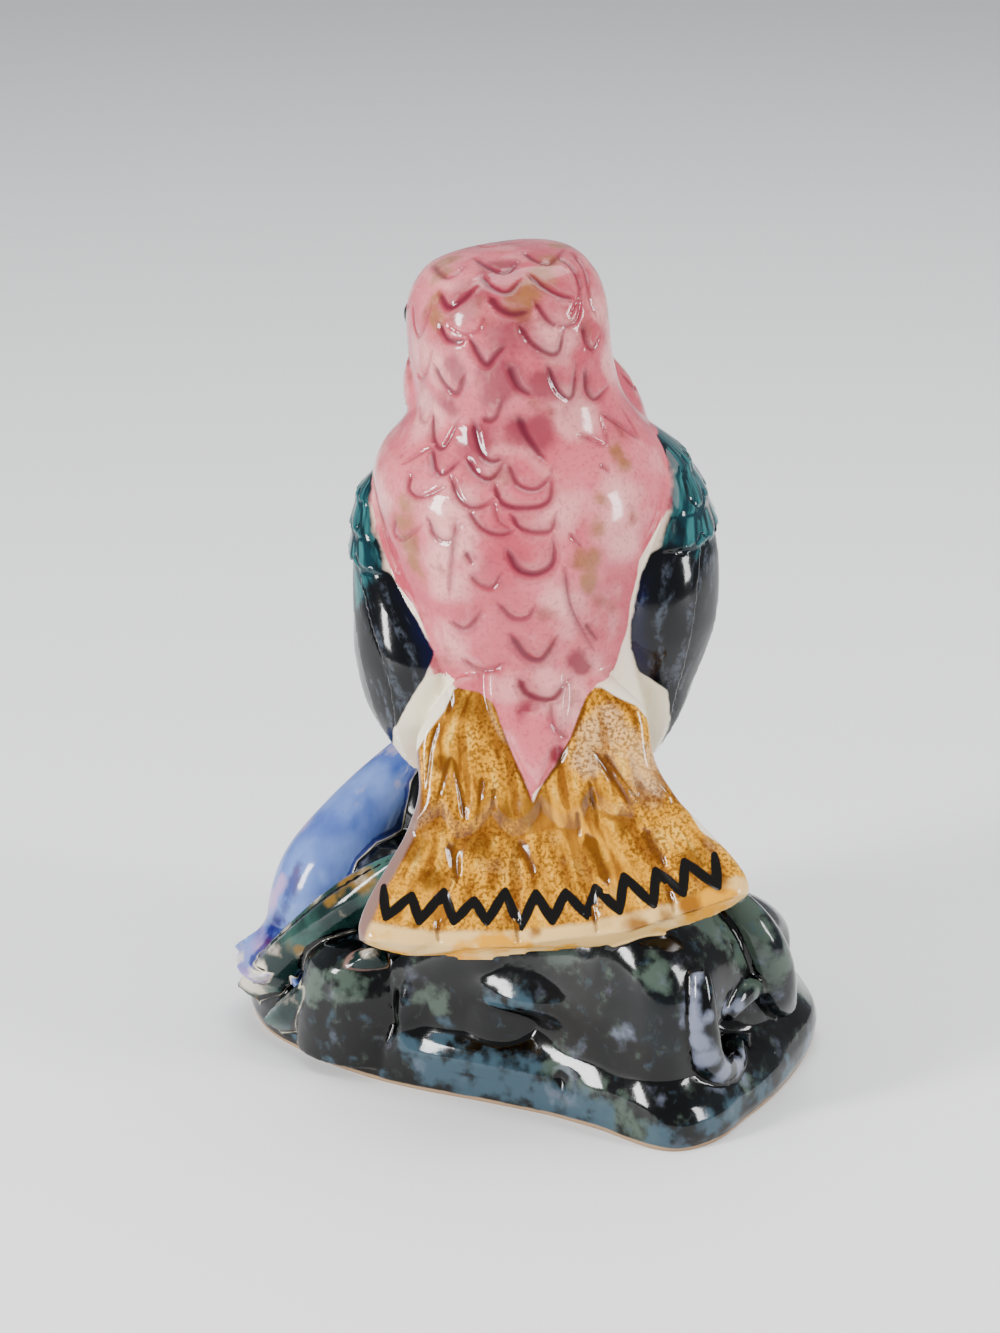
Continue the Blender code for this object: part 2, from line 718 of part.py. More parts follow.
def add_feet(form):
    """Three toes for each foot, over the front edge of the perch."""
    side, front, drop = FOOT
    steps = 6
    for foot in (-1, 1):
        ankle = Vector((foot * side * BODY_WIDTH, front * BODY_DEPTH, perch()))
        for spread in TOE_SPREAD:
            heading = Matrix.Rotation(math.radians(spread - foot * 8), 3, "Z") @ Vector((0, TOE_LENGTH, 0))
            path = []
            for k in range(steps + 1):
                share = k / steps
                path.append(ankle + heading * share + Vector((0, 0, -drop * TOE_LENGTH * share * share)))
            radii = [TOE_RADIUS * (1 - 0.35 * k / steps) for k in range(steps + 1)]
            add_tube(form, path, radii, 12)


def face_out(form):
    """Turns every closed form's faces outwards."""
    bmesh.ops.remove_doubles(form, verts=form.verts, dist=1e-6)
    bmesh.ops.recalc_face_normals(form, faces=form.faces)


def all_forms():
    """One mesh that holds every form of the figure, each of them closed and overlapping its neighbours."""
    form = bmesh.new()
    add_rock(form)
    add_ridges(form)
    for phase, row in enumerate(BOULDERS.values()):
        add_boulder(form, row, phase)
    add_body(form)
    add_bill(form)
    add_face(form)
    add_breast(form)
    for side in (-1, 1):
        add_wing(form, side)
    add_tail(form)
    add_flower(form)
    for line, half_width in LEAVES.values():
        add_leaf(form, line, half_width)
    add_feet(form)
    face_out(form)
    mesh = bpy.data.meshes.new("figure_forms")
    form.to_mesh(mesh)
    form.free()
    return mesh


def glazed_pottery():
    """Clear-glazed earthenware, mostly rose."""
    material = bpy.data.materials.new("glazed_pottery")
    material.use_nodes = True
    shader = material.node_tree.nodes["Principled BSDF"]
    shader.inputs["Base Color"].default_value = (0.60, 0.27, 0.28, 1)
    shader.inputs["Roughness"].default_value = 0.12
    shader.inputs["Metallic"].default_value = 0.0
    return material


def ground_cutter():
    """A block under the ground, which cuts the foot flat."""
    block = bmesh.new()
    reach = 2 * (FOOT_WIDTH + FOOT_DEPTH)
    depth = 4 * BURIED
    place = Matrix.Translation((0, 0, -depth / 2)) @ Matrix.Diagonal((reach, reach, depth, 1))
    bmesh.ops.create_cube(block, size=1.0, matrix=place)
    mesh = bpy.data.meshes.new("ground_cutter")
    block.to_mesh(mesh)
    block.free()
    cutter = bpy.data.objects.new("ground_cutter", mesh)
    bpy.context.scene.collection.objects.link(cutter)
    cutter.hide_render = True
    cutter.display_type = "WIRE"
    return cutter


def figurine():
    """The whole figure: its forms fused into one skin, rounded as glaze rounds them, and cut flat below."""
    figure = bpy.data.objects.new("hummingbird_figurine", all_forms())
    bpy.context.scene.collection.objects.link(figure)
    fuse = figure.modifiers.new("fuse", "REMESH")
    fuse.mode = "VOXEL"
    fuse.voxel_size = SKIN_CELL
    rounding = figure.modifiers.new("rounding", "SMOOTH")
    rounding.factor = 0.5
    rounding.iterations = SKIN_ROUNDING_STEPS
    lighter = figure.modifiers.new("lighter", "DECIMATE")
    lighter.ratio = SKIN_FACE_SHARE
    lighter.use_collapse_triangulate = True
    flat = figure.modifiers.new("flat_underside", "BOOLEAN")
    flat.operation = "DIFFERENCE"
    flat.solver = "EXACT"
    flat.object = ground_cutter()
    figure.data.materials.append(glazed_pottery())
    return figure


def main():
    for thing in list(bpy.data.objects):
        bpy.data.objects.remove(thing)
    figurine()


main()
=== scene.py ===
import json
import math

import bmesh
import bpy
import numpy as np
from mathutils import Matrix, Vector
from mathutils.bvhtree import BVHTree
from mathutils.kdtree import KDTree

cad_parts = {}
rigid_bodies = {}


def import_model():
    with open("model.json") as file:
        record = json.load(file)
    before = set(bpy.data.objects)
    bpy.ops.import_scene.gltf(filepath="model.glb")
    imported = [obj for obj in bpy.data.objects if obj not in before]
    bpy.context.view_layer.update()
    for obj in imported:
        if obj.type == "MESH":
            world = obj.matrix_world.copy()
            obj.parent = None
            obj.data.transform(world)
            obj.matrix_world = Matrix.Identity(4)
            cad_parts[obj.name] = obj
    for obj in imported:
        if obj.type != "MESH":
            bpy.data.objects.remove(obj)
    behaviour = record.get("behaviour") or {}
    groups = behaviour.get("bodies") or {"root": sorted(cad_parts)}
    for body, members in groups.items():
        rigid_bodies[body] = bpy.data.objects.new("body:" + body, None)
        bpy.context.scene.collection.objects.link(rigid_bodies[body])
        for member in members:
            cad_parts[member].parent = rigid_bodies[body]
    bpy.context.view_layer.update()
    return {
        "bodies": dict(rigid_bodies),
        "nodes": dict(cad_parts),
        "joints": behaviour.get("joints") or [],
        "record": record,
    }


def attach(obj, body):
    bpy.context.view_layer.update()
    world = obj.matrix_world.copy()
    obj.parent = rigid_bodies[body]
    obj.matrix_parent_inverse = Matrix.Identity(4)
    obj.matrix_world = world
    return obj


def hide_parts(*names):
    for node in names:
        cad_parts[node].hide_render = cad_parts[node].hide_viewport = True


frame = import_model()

# Points round a ring of the finest forms
ringPoints = 240
# The photograph is 1000 x 1333 pixels. Its camera, as fitted to the figure's outline
photo = {
    "width": 1000,
    "height": 1333,
    "focalPixels": 3284,
    "elevation": math.radians(20),
    "distance": 0.350,
    "target": (-0.00267, 0.0, 0.044),
}


def eyePoint():
    back = Vector((0, -math.cos(photo["elevation"]), math.sin(photo["elevation"])))
    return Vector(photo["target"]) + back * photo["distance"]


def addObject(name, data):
    thing = bpy.data.objects.new(name, data)
    bpy.context.scene.collection.objects.link(thing)
    return thing


def makeCamera():
    data = bpy.data.cameras.new("photoCamera")
    data.sensor_width = 36
    data.lens = photo["focalPixels"] * data.sensor_width / photo["height"]
    data.clip_start = 0.01
    camera = addObject("photoCamera", data)
    camera.location = eyePoint()
    camera.rotation_euler = (math.pi / 2 - photo["elevation"], 0, 0)
    bpy.context.scene.camera = camera


# Where a pixel of the photograph falls on the skin
def photoPoint(skinTree, x, y):
    turn = Matrix.Rotation(math.pi / 2 - photo["elevation"], 3, "X")
    side = (x - photo["width"] / 2) / photo["focalPixels"]
    up = (photo["height"] / 2 - y) / photo["focalPixels"]
    return skinTree.ray_cast(eyePoint(), turn @ Vector((side, up, -1)).normalized())[0]


# Values at a share, on a smooth curve through rows of (share, value, value, ...).
def follow(stations, share):
    last = len(stations) - 1
    share = min(max(share, stations[0][0]), stations[last][0])
    i = max(k for k in range(last) if stations[k][0] <= share)
    row0, row1 = stations[max(i - 1, 0)], stations[i]
    row2, row3 = stations[i + 1], stations[min(i + 2, last)]
    gap = row2[0] - row1[0]
    t = (share - row1[0]) / gap
    values = []
    for v0, v1, v2, v3 in zip(row0[1:], row1[1:], row2[1:], row3[1:]):
        slope1 = (v2 - v0) / max(row2[0] - row0[0], 1e-9) * gap
        slope2 = (v3 - v1) / max(row3[0] - row1[0], 1e-9) * gap
        values.append(
            v1 * (2 * t**3 - 3 * t**2 + 1)
            + slope1 * (t**3 - 2 * t**2 + t)
            + v2 * (3 * t**2 - 2 * t**3)
            + slope2 * (t**3 - t**2)
        )
    return values


# 0 below low, 1 above high, with a smooth rise between them.
def ease(low, high, value):
    t = min(max((value - low) / (high - low), 0.0), 1.0)
    return t * t * (3 - 2 * t)


# Point of a rounded rectangle-like oval, at an angle from +X.
def superellipse(angle, halfX, halfY, squareness):
    c, s = math.cos(angle), math.sin(angle)
    reach = (abs(c / halfX) ** squareness + abs(s / halfY) ** squareness) ** (-1 / squareness)
    return reach * c, reach * s


# Adds a closed skin through rings of equal length to the bmesh, with its ends filled.
def loft(form, rings):
    made = [[form.verts.new(p) for p in ring] for ring in rings]
    for low, high in zip(made, made[1:]):
        for k in range(len(low)):
            n = (k + 1) % len(low)
            form.faces.new((low[k], low[n], high[n], high[k]))
    form.faces.new(list(reversed(made[0])))
    form.faces.new(made[-1])


# Angles of a ring's points, once round.
def ringAngles(count=ringPoints):
    return [2 * math.pi * k / count for k in range(count)]


# Values from a table of (angle in degrees, value, ...) that closes on itself.
def around(table, angle):
    turns = [(a + lap * 360, *values) for lap in (-1, 0, 1) for a, *values in table]
    return follow(turns, math.degrees(angle) % 360)


# A round tube along a path, with a radius at each point.
def addTube(form, path, radii, count=24):
    rings = []
    for i, (point, radius) in enumerate(zip(path, radii)):
        along = (path[min(i + 1, len(path) - 1)] - path[max(i - 1, 0)]).normalized()
        turned = along.to_track_quat("Z", "Y").to_matrix()
        circle = [Vector((radius * math.cos(a), radius * math.sin(a), 0)) for a in ringAngles(count)]
        rings.append([point + turned @ place for place in circle])
    loft(form, rings)


# A ball or an egg, at a place.
def addBall(form, centre, radii):
    place = Matrix.Translation(centre) @ Matrix.Diagonal((*radii, 1))
    bmesh.ops.create_uvsphere(form, u_segments=96, v_segments=64, radius=1.0, matrix=place)


# Points of a line that leaves its start straight and sags by its end.
def saggingLine(start, reach, sag, steps):
    shares = [k / steps for k in range(steps + 1)]
    return [start + reach * share + Vector((0, 0, -sag * share * share)) for share in shares]


# The rock: a skin round its outline, with knobs, hollows, ridges and boulders. Shares are of
# the foot's half width, of its half depth and of the rock's height, as each row says below.
rock = {
    "footWidth": 0.0650,
    "footDepth": 0.0560,
    "lipHeight": 0.0060,
    "height": 0.0310,
    "outline": (
        (4, 1.00), (22, 1.00), (44, 0.95), (68, 0.89), (92, 0.86), (116, 0.90), (140, 0.99),
        (160, 1.01), (174, 0.91), (188, 0.76), (206, 0.62), (228, 0.52), (252, 0.49), (276, 0.56),
        (290, 0.71), (299, 0.93), (308, 0.97), (322, 0.935), (342, 0.945),
    ),
    "shoulder": (
        (10, 0.46), (30, 0.46), (70, 0.44), (105, 0.42), (140, 0.30), (175, 0.31), (200, 0.46),
        (220, 0.62), (245, 0.72), (275, 0.75), (300, 0.76), (335, 0.72), (348, 0.56),
    ),
    "lip": ((0.0, 0.985), (0.2, 1.0), (0.5, 0.995), (0.75, 0.97), (0.95, 0.93)),
    "sideStart": 1.15,
    "side": (
        (0.0, 0.90), (0.12, 0.905), (0.35, 0.91), (0.60, 0.885), (0.80, 0.82), (0.93, 0.71),
        (1.00, 0.55), (1.06, 0.30), (1.08, 0.03),
    ),
    "marks": (
        (268, 0.4, 15, 0.058, 0.048), (267, 0.284, 13, 0.052, -0.084), (250, 0.168, 30, 0.042, 0.035),
        (220, 0.258, 4, 0.097, 0.045), (282, 0.129, 3, 0.032, -0.048), (327, 0.284, 7, 0.090, -0.129),
        (356, 0.194, 10, 0.097, 0.039), (2, 0.323, 5, 0.052, -0.052), (20, 0.355, 12, 0.097, 0.045),
        (55, 0.258, 14, 0.077, -0.058), (92, 0.339, 15, 0.071, 0.045), (120, 0.242, 10, 0.077, -0.052),
    ),
    "ridges": (
        (
            (
                (310, 0.581), (309, 0.484), (309, 0.387), (311, 0.274), (316, 0.194), (323, 0.168),
                (329, 0.206),
            ),
            0.058,
        ),
        (((335, 0.70), (335, 0.581), (337, 0.452), (340, 0.339), (345, 0.242)), 0.085),
        (((334, 0.387), (327, 0.406), (320, 0.361)), 0.048),
    ),
    "ridgeStand": 0.30,
    "ridgeEnds": 0.12,
    "boulders": {
        "core": (0.02, 0.06, 0.45, 0.50, 0, 1.00, 2.4),
        "tailRest": (0.04, -0.28, 0.36, 0.24, -4, 1.02, 2.3),
        "nearShoulder": (0.36, -0.30, 0.24, 0.22, -30, 0.78, 2.4),
        "rightStep": (0.52, 0.14, 0.26, 0.42, 12, 0.60, 2.4),
        "frontStep": (0.06, 0.44, 0.44, 0.34, 6, 0.92, 2.3),
        "leftStep": (-0.42, 0.26, 0.28, 0.44, 20, 0.72, 2.3),
        "stemRest": (-0.30, 0.42, 0.20, 0.24, 10, 0.98, 2.3),
        "leafRest": (-0.47, -0.10, 0.30, 0.24, 24, 0.50, 2.3),
    },
    "boulderSide": (
        (0.10, 1.0), (0.35, 1.0), (0.62, 0.95), (0.80, 0.86), (0.91, 0.70), (0.98, 0.42), (1.0, 0.06),
    ),
    "boulderWave": 0.03,
    "buried": 0.0030,
}


# How far the knobs and hollows move the rock's side out at an angle and a height.
def rockMarks(angle, height):
    rise = 0.0
    for markAngle, markHeight, halfAngle, halfHeight, amount in rock["marks"]:
        off = (math.degrees(angle) - markAngle + 180) % 360 - 180
        up = (height / rock["height"] - markHeight) / halfHeight
        rise += amount * rock["height"] * math.exp(-((off / halfAngle) ** 2) - up**2)
    return rise


# Point of the rock's side, with its knobs and hollows.
def rockPoint(angle, reachShare, height):
    reach = around(rock["outline"], angle)[0] * rock["footWidth"] / 2 * reachShare
    reach += rockMarks(angle, height)
    return Vector((math.cos(angle) * reach, math.sin(angle) * reach, height))


# Point of the rock's side above its lip, at an angle and a height.
def rockSide(angle, height):
    low = rock["sideStart"] * rock["lipHeight"]
    shoulder = around(rock["shoulder"], angle)[0] * rock["height"]
    return rockPoint(angle, follow(rock["side"], (height - low) / (shoulder - low))[0], height)


# The rock's skin: a rounded lip at its foot, a crease, and its side up to its shoulder.
def addRock(form):
    angles = ringAngles(2 * ringPoints)
    rings = []
    for share, reach in ((-rock["buried"] / rock["lipHeight"], rock["lip"][0][1]), *rock["lip"]):
        rings.append([rockPoint(a, reach, share * rock["lipHeight"]) for a in angles])
    low = rock["sideStart"] * rock["lipHeight"]
    steps = 90
    for k in range(steps + 1):
        rise = rock["side"][-1][0] * k / steps
        reach = follow(rock["side"], rise)[0]
        heights = [low + rise * (around(rock["shoulder"], a)[0] * rock["height"] - low) for a in angles]
        rings.append([rockPoint(a, reach, h) for a, h in zip(angles, heights)])
    loft(form, rings)


# Raised ridges that run over the rock's side.
def addRidges(form):
    for line, radius in rock["ridges"]:
        rows = [(k, math.radians(a), h * rock["height"]) for k, (a, h) in enumerate(line)]
        steps = 4 * (len(line) - 1)
        path = [rockSide(*follow(rows, k / 4)) for k in range(steps + 1)]
        path = [point * (1 + rock["ridgeStand"] * radius * rock["height"] / point.length) for point in path]
        rounded = [rock["ridgeEnds"] + (1 - 2 * rock["ridgeEnds"]) * k / steps for k in range(steps + 1)]
        radii = [radius * rock["height"] * math.sin(math.pi * share) ** 0.5 for share in rounded]
        addTube(form, path, radii, 16)


# Point at shares of the foot's half width, of its half depth and of the rock's height.
def onRock(shares):
    side, front, height = shares
    return Vector((side * rock["footWidth"] / 2, front * rock["footDepth"] / 2, height * rock["height"]))


# One boulder of the rock: an oval block with a rounded top and a gently waved side.
def addBoulder(form, row, phase):
    x, y, halfX, halfY, turn, top, squareness = row
    centre = Vector((x * rock["footWidth"] / 2, y * rock["footDepth"] / 2, 0))
    halfX *= rock["footWidth"] / 2
    halfY *= rock["footDepth"] / 2
    top *= rock["height"]
    turned = Matrix.Rotation(math.radians(turn), 3, "Z")
    rings = []
    for share, reach in rock["boulderSide"]:
        ring = []
        for a in ringAngles(160):
            waves = math.sin(3 * a + phase + 2.2 * share) + math.sin(5 * a - phase)
            wave = reach * (1 + rock["boulderWave"] * waves)
            px, py = superellipse(a, halfX * wave, halfY * wave, squareness)
            ring.append(centre + turned @ Vector((px, py, share * top)))
        rings.append(ring)
    loft(form, rings)


# The bird's body and head. Stations: height share, side, front, half width, half depth, squareness.
bird = {
    "height": 0.0590,
    "width": 0.0312,
    "depth": 0.0312,
    "perchDepth": 0.0010,
    "headTurn": math.radians(16.0),
    "headTilt": math.radians(6.0),
    "neckLow": 0.60,
    "neckHigh": 0.80,
    "stations": (
        (-0.06, 0.02, 0.05, 0.25, 0.25, 2.0), (0.034, 0.02, 0.06, 0.37, 0.34, 2.1),
        (0.136, 0.03, 0.07, 0.44, 0.37, 2.1), (0.237, 0.03, 0.08, 0.46, 0.41, 2.1),
        (0.339, 0.02, 0.085, 0.47, 0.46, 2.1), (0.441, 0.01, 0.09, 0.485, 0.50, 2.1),
        (0.525, 0.00, 0.10, 0.502, 0.50, 2.2), (0.593, -0.01, 0.105, 0.502, 0.475, 2.25),
        (0.640, -0.015, 0.11, 0.470, 0.43, 2.25), (0.680, -0.025, 0.115, 0.405, 0.385, 2.2),
        (0.725, -0.035, 0.115, 0.348, 0.355, 2.3), (0.780, -0.050, 0.115, 0.330, 0.350, 2.4),
        (0.840, -0.050, 0.125, 0.325, 0.350, 2.6), (0.900, -0.045, 0.125, 0.316, 0.330, 2.7),
        (0.948, -0.040, 0.120, 0.282, 0.280, 2.6), (0.980, -0.036, 0.115, 0.205, 0.195, 2.4),
        (0.993, -0.034, 0.112, 0.03, 0.03, 2.0),
    ),
    "breast": (0.075, 0.27, 0.61, 0.353, 0.314, 0.401),
    "cheek": (0.745, 62, 0.16, -0.119),
    "cheekShape": (1.0, 1.0, 1.3),
}


# Height of the bird's lowest point, a little inside the top of the rock.
def perch():
    return rock["height"] - bird["perchDepth"]


# Point at shares of the bird's width to the side, of its depth to the front, and of its height.
def onBird(side, front, share):
    return Vector((side * bird["width"], front * bird["depth"], perch() + share * bird["height"]))


# Turns and tilts a point of the bird with its head, more and more from the neck up.
def turnHead(point, share):
    amount = ease(bird["neckLow"], bird["neckHigh"], share)
    side, front = follow(bird["stations"], bird["neckHigh"])[:2]
    pivot = onBird(side, front, bird["neckHigh"])
    turn = Matrix.Rotation(bird["headTurn"] * amount, 3, "Z")
    tilt = Matrix.Rotation(-bird["headTilt"] * amount, 3, "Y")
    return pivot + turn @ tilt @ (point - pivot)


# Point of the bird's skin at a share of its height and an angle from the spine, towards +X.
def bodyPoint(share, fromSpine, rise=0.0):
    side, front, halfWidth, halfDepth, squareness = follow(bird["stations"], share)
    x, y = superellipse(
        fromSpine - math.pi / 2,
        halfWidth * bird["width"] + rise,
        halfDepth * bird["depth"] + rise,
        squareness,
    )
    point = Vector((side * bird["width"] + x, front * bird["depth"] + y, perch() + share * bird["height"]))
    return turnHead(point, share)


# Body and head as one skin, from the perch to the crown.
def addBody(form):
    low, high = bird["stations"][0][0], bird["stations"][-1][0]
    count = 170
    shares = [low + (high - low) * math.sin(math.pi / 2 * k / count) for k in range(count + 1)]
    loft(form, [[bodyPoint(s, a) for a in ringAngles()] for s in shares])


# The full breast, which shows past the neck on one side.
def addBreast(form):
    side, front, share, *halfSizes = bird["breast"]
    addBall(form, onBird(side, front, share), [halfSize * bird["width"] for halfSize in halfSizes])


# The bill and the eyes. An eye's place is a share of the bird's height and degrees from the bill.
face = {
    "billHeight": 0.835,
    "billLength": 0.0200,
    "billRootRadius": 0.0021,
    "billTipRadius": 0.0009,
    "billDroop": math.radians(22.0),
    "billSag": 0.04,
    "billFullness": 1.6,
    "billRootEnd": 0.35,
    "billTipRounding": 0.6,
    "eyes": (0.865, 44),
    "eyeRadius": 0.0017,
    "eyeSunk": 0.45,
    "eyeGlaze": 1.08,
}


# Where the bill leaves the head, and the way it points.
def faceFrame():
    root = bodyPoint(face["billHeight"], math.pi, -2 * face["billRootRadius"])
    ahead = Vector((0, math.cos(face["billDroop"]), -math.sin(face["billDroop"])))
    return root, Matrix.Rotation(bird["headTurn"], 3, "Z") @ ahead


# Centre of an eye, 1 on the right and -1 on the left, sunk by a share of its radius.
def eyeCentre(side, sunk):
    share, fromBill = face["eyes"]
    return bodyPoint(share, math.pi - side * math.radians(fromBill), -sunk * face["eyeRadius"])


# The bill, with a fuller root where it joins the face.
def addBill(form):
    root, ahead = faceFrame()
    rootRadius, tipRadius = face["billRootRadius"], face["billTipRadius"]
    reach = face["billLength"] + 2 * rootRadius
    steps = 14
    radii = []
    for k in range(steps + 1):
        fuller = face["billFullness"] * rootRadius * (1 - ease(0.0, face["billRootEnd"], k / steps))
        radii.append(rootRadius + (tipRadius - rootRadius) * (k / steps) + fuller)
    radii[-1] *= face["billTipRounding"]
    addTube(form, saggingLine(root, ahead * reach, face["billSag"] * reach, steps), radii)


# A low dome for each eye, and the fullness of each cheek below it.
def addFace(form):
    share, fromBill, radius, rise = bird["cheek"]
    for side in (-1, 1):
        addBall(form, eyeCentre(side, face["eyeSunk"]), [face["eyeRadius"]] * 3)
        cheek = bodyPoint(share, math.pi - side * math.radians(fromBill), rise * bird["width"])
        addBall(form, cheek, [radius * bird["width"] * full for full in bird["cheekShape"]])


# The folded wings, 1 on the right and -1 on the left. Stations: share of the length, rise, rear
# and front edge in degrees from the spine.
wing = {
    "thickness": 0.0058,
    "step": 0.0007,
    "top": {1: 0.660, -1: 0.585},
    "tip": {1: 0.075, -1: 0.050},
    "stations": {
        1: (
            (0.00, 0.02, 86, 104), (0.10, 0.32, 73, 120), (0.235, 0.62, 57, 131), (0.35, 0.84, 47, 133),
            (0.53, 0.90, 43, 127), (0.64, 0.74, 47, 118), (0.76, 0.50, 54, 107), (0.88, 0.32, 62, 97),
            (1.00, 0.14, 72, 86),
        ),
        -1: (
            (0.00, 0.02, 92, 106), (0.10, 0.32, 84, 120), (0.25, 0.55, 70, 130), (0.40, 0.68, 53, 132),
            (0.53, 0.76, 43, 127), (0.62, 0.78, 42, 119), (0.76, 0.68, 48, 107), (0.88, 0.46, 60, 97),
            (1.00, 0.20, 71, 86),
        ),
    },
    "covertEnd": 0.28,
    "covertRows": 3,
    "covertScallop": 0.35,
    "longFeathers": 5,
    "lift": 0.6,
    "shell": (3.2, 0.6),
    "root": 0.08,
}


# Height of a wing's outer face over the body: a rounded shell, with its feathers stepped.
def wingRise(across, along, peak):
    flatness, steepness = wing["shell"]
    shell = peak * max(1 - abs(2 * across - 1) ** flatness, 0.0) ** steepness
    step = wing["step"] * ease(0.0, wing["root"], along)
    if along < wing["covertEnd"]:
        row = along / wing["covertEnd"] * wing["covertRows"]
        slot = (across * (wing["longFeathers"] + 1) + 0.5 * (int(row) % 2)) % 1.0
        edge = row % 1.0 - wing["covertScallop"] * (2 * slot - 1) ** 2
        return shell + step * (wing["lift"] + wing["lift"] * edge)
    slot = (across * wing["longFeathers"]) % 1.0
    return shell + step * (slot - wing["lift"])


# Place on a wing, across from its rear edge and along from its top, as bodyPoint takes it.
def wingPlace(side, across, along):
    peak, rear, front = follow(wing["stations"][side], along)
    share = wing["top"][side] + (wing["tip"][side] - wing["top"][side]) * along
    angle = side * math.radians(rear + (front - rear) * across)
    return share, angle, wingRise(across, along, peak * wing["thickness"])


# A folded wing: a feathered shell that wraps the flank, from the shoulder to the tip.
def addWing(form, side):
    rows, columns = 130, 80
    rings = []
    for i in range(rows + 1):
        places = [wingPlace(side, k / columns, i / rows) for k in range(columns + 1)]
        outer = [bodyPoint(*place) for place in places]
        inner = [bodyPoint(*place[:2], -rock["buried"]) for place in reversed(places)]
        ring = outer + inner
        rings.append(ring if side > 0 else list(reversed(ring)))
    loft(form, rings)


# The fanned tail. Stations: share of the length, slope below level, half width, thickness.
tail = {
    "length": 0.0280,
    "width": 0.0420,
    "thickness": 0.0038,
    "sag": 0.0012,
    "swing": math.radians(2.5),
    "roll": math.radians(6.5),
    "feathers": 5,
    "groove": 0.0006,
    "covertRise": 0.0010,
    "lobe": 0.018,
    "rumpPoint": 0.45,
    "rumpWidth": 0.55,
    "rumpRise": 0.0009,
    "stations": (
        (0.00, 66, 0.34, 3.2), (0.10, 66, 0.46, 3.0), (0.22, 65, 0.565, 2.6), (0.44, 62, 0.59, 1.9),
        (0.58, 58, 0.665, 1.5), (0.72, 54, 0.79, 1.2), (0.85, 49, 0.905, 1.0), (0.94, 46, 0.96, 1.0),
        (1.00, 44, 0.965, 1.0),
    ),
    "root": (-0.005, -0.295, 0.288),
    "covertFringe": (0.50, 0.10),
    "rounding": 0.10,
    "edge": 0.35,
}


# From 0 between two feathers to 1 along the middle of each.
def featherLane(across):
    return abs(math.sin(math.pi * tail["feathers"] * (across + 1) / 2))


# Point of the tail's middle line and the way it runs there, before the tail's swing.
def tailLine(share):
    steps = max(int(share * 40), 1)
    point = Vector((0, 0, 0))
    for k in range(steps):
        slope = math.radians(follow(tail["stations"], share * (k + 0.5) / steps)[0])
        point += Vector((0, -math.cos(slope), -math.sin(slope))) * tail["length"] * share / steps
    slope = math.radians(follow(tail["stations"], share)[0])
    return point, Vector((0, -math.cos(slope), -math.sin(slope)))


# Placing of the tail: at the rump, swung to one side and rolled.
def tailPlace():
    swing = Matrix.Rotation(tail["swing"], 4, "Z")
    roll = Matrix.Rotation(-tail["roll"], 4, "Y")
    return Matrix.Translation(onBird(*tail["root"])) @ swing @ roll


# Relief of the tail's upper face: its grooves, the coverts over them, and the rump's point.
def tailRise(across, share):
    groove = -tail["groove"] * (1 - featherLane(across)) ** 2 * ease(0.1, 0.5, share)
    fringe, wave = tail["covertFringe"]
    fingers = fringe + wave * abs(math.sin(tail["feathers"] / 2 * math.pi * across))
    covert = tail["covertRise"] * (1 - ease(fingers - 0.06, fingers + 0.02, share))
    point = tail["rumpPoint"] * (1 - abs(across) / tail["rumpWidth"])
    rump = tail["rumpRise"] * ease(-0.03, 0.05, point - share)
    return groove + covert + rump


# Points of the tail's upper and lower face, from -1 to 1 across and from the rump to its end.
def tailSkin(across, share):
    reach = share * (1 - tail["rounding"] * across**2 + tail["lobe"] * featherLane(across))
    point, along = tailLine(min(reach, 1.0))
    halfWidth, full = follow(tail["stations"], share)[1:]
    normal = Vector((1, 0, 0)).cross(along).normalized() * -1
    edge = max(1 - abs(across) ** 10, 0.0) ** 0.5
    point = point + Vector((across * halfWidth * tail["width"] / 2, 0, 0))
    sag = -tail["sag"] * (1 - across**2) * ease(0.3, 1.0, share)
    inset = tail["thickness"] * tail["edge"] * (1 - edge)
    under = tail["thickness"] * (1 + (full - 1) * (1 - abs(across) ** 3))
    return point + normal * (tailRise(across, share) + sag - inset), point + normal * (sag - under + inset)


# The fanned tail: a thick plate with a waved end.
def addTail(form):
    place = tailPlace()
    rows, columns = 110, 180
    rings = []
    for i in range(rows + 1):
        faces = [tailSkin(2 * k / columns - 1, i / rows) for k in range(columns + 1)]
        ring = [upper for upper, lower in faces] + [lower for upper, lower in reversed(faces)]
        rings.append([place @ point for point in ring])
    loft(form, rings)


# The trumpet flower. Stations: share of the length back from the mouth, radius share.
flower = {
    "length": 0.0260,
    "mouthWidth": 0.0135,
    "cupDepth": 0.0060,
    "petals": 5,
    "mouth": (-0.738, 0.20, 0.355),
    "facing": (-0.28, -0.12, -0.95),
    "stations": (
        (0.00, 0.72), (0.12, 0.80), (0.30, 0.84), (0.55, 0.68), (0.80, 0.50), (1.00, 0.36),
    ),
    "bend": (0.327, 0.21, -0.123),
    "cupStations": ((0.25, 0.74), (0.6, 0.5), (1.0, 0.08)),
    "petalLength": 0.0064,
    "petalThickness": 0.0020,
    "petalOpening": math.radians(6),
    "petalCurl": math.radians(24),
    "petalNotch": 0.45,
}


# Rings of the flower, from its stem out over the petals and back into its cup. Each is its share
# of the length back from the mouth, its radius, its share of a petal's length, and if it is inside.
def flowerSkin():
    half = flower["mouthWidth"] / 2
    tube = flower["stations"][0][1] * half
    backs = [1 - k / 40 for k in range(40)]
    rings = [(back, follow(flower["stations"], back)[0] * half, 0.0, False) for back in backs]
    rings += [(0.0, tube, k / 6, False) for k in range(7)]
    rings += [(0.0, tube, k / 6, True) for k in range(6, -1, -1)]
    for depth, narrowing in flower["cupStations"]:
        rings.append((flower["cupDepth"] / flower["length"] * depth, tube * narrowing, 0.0, True))
    return rings


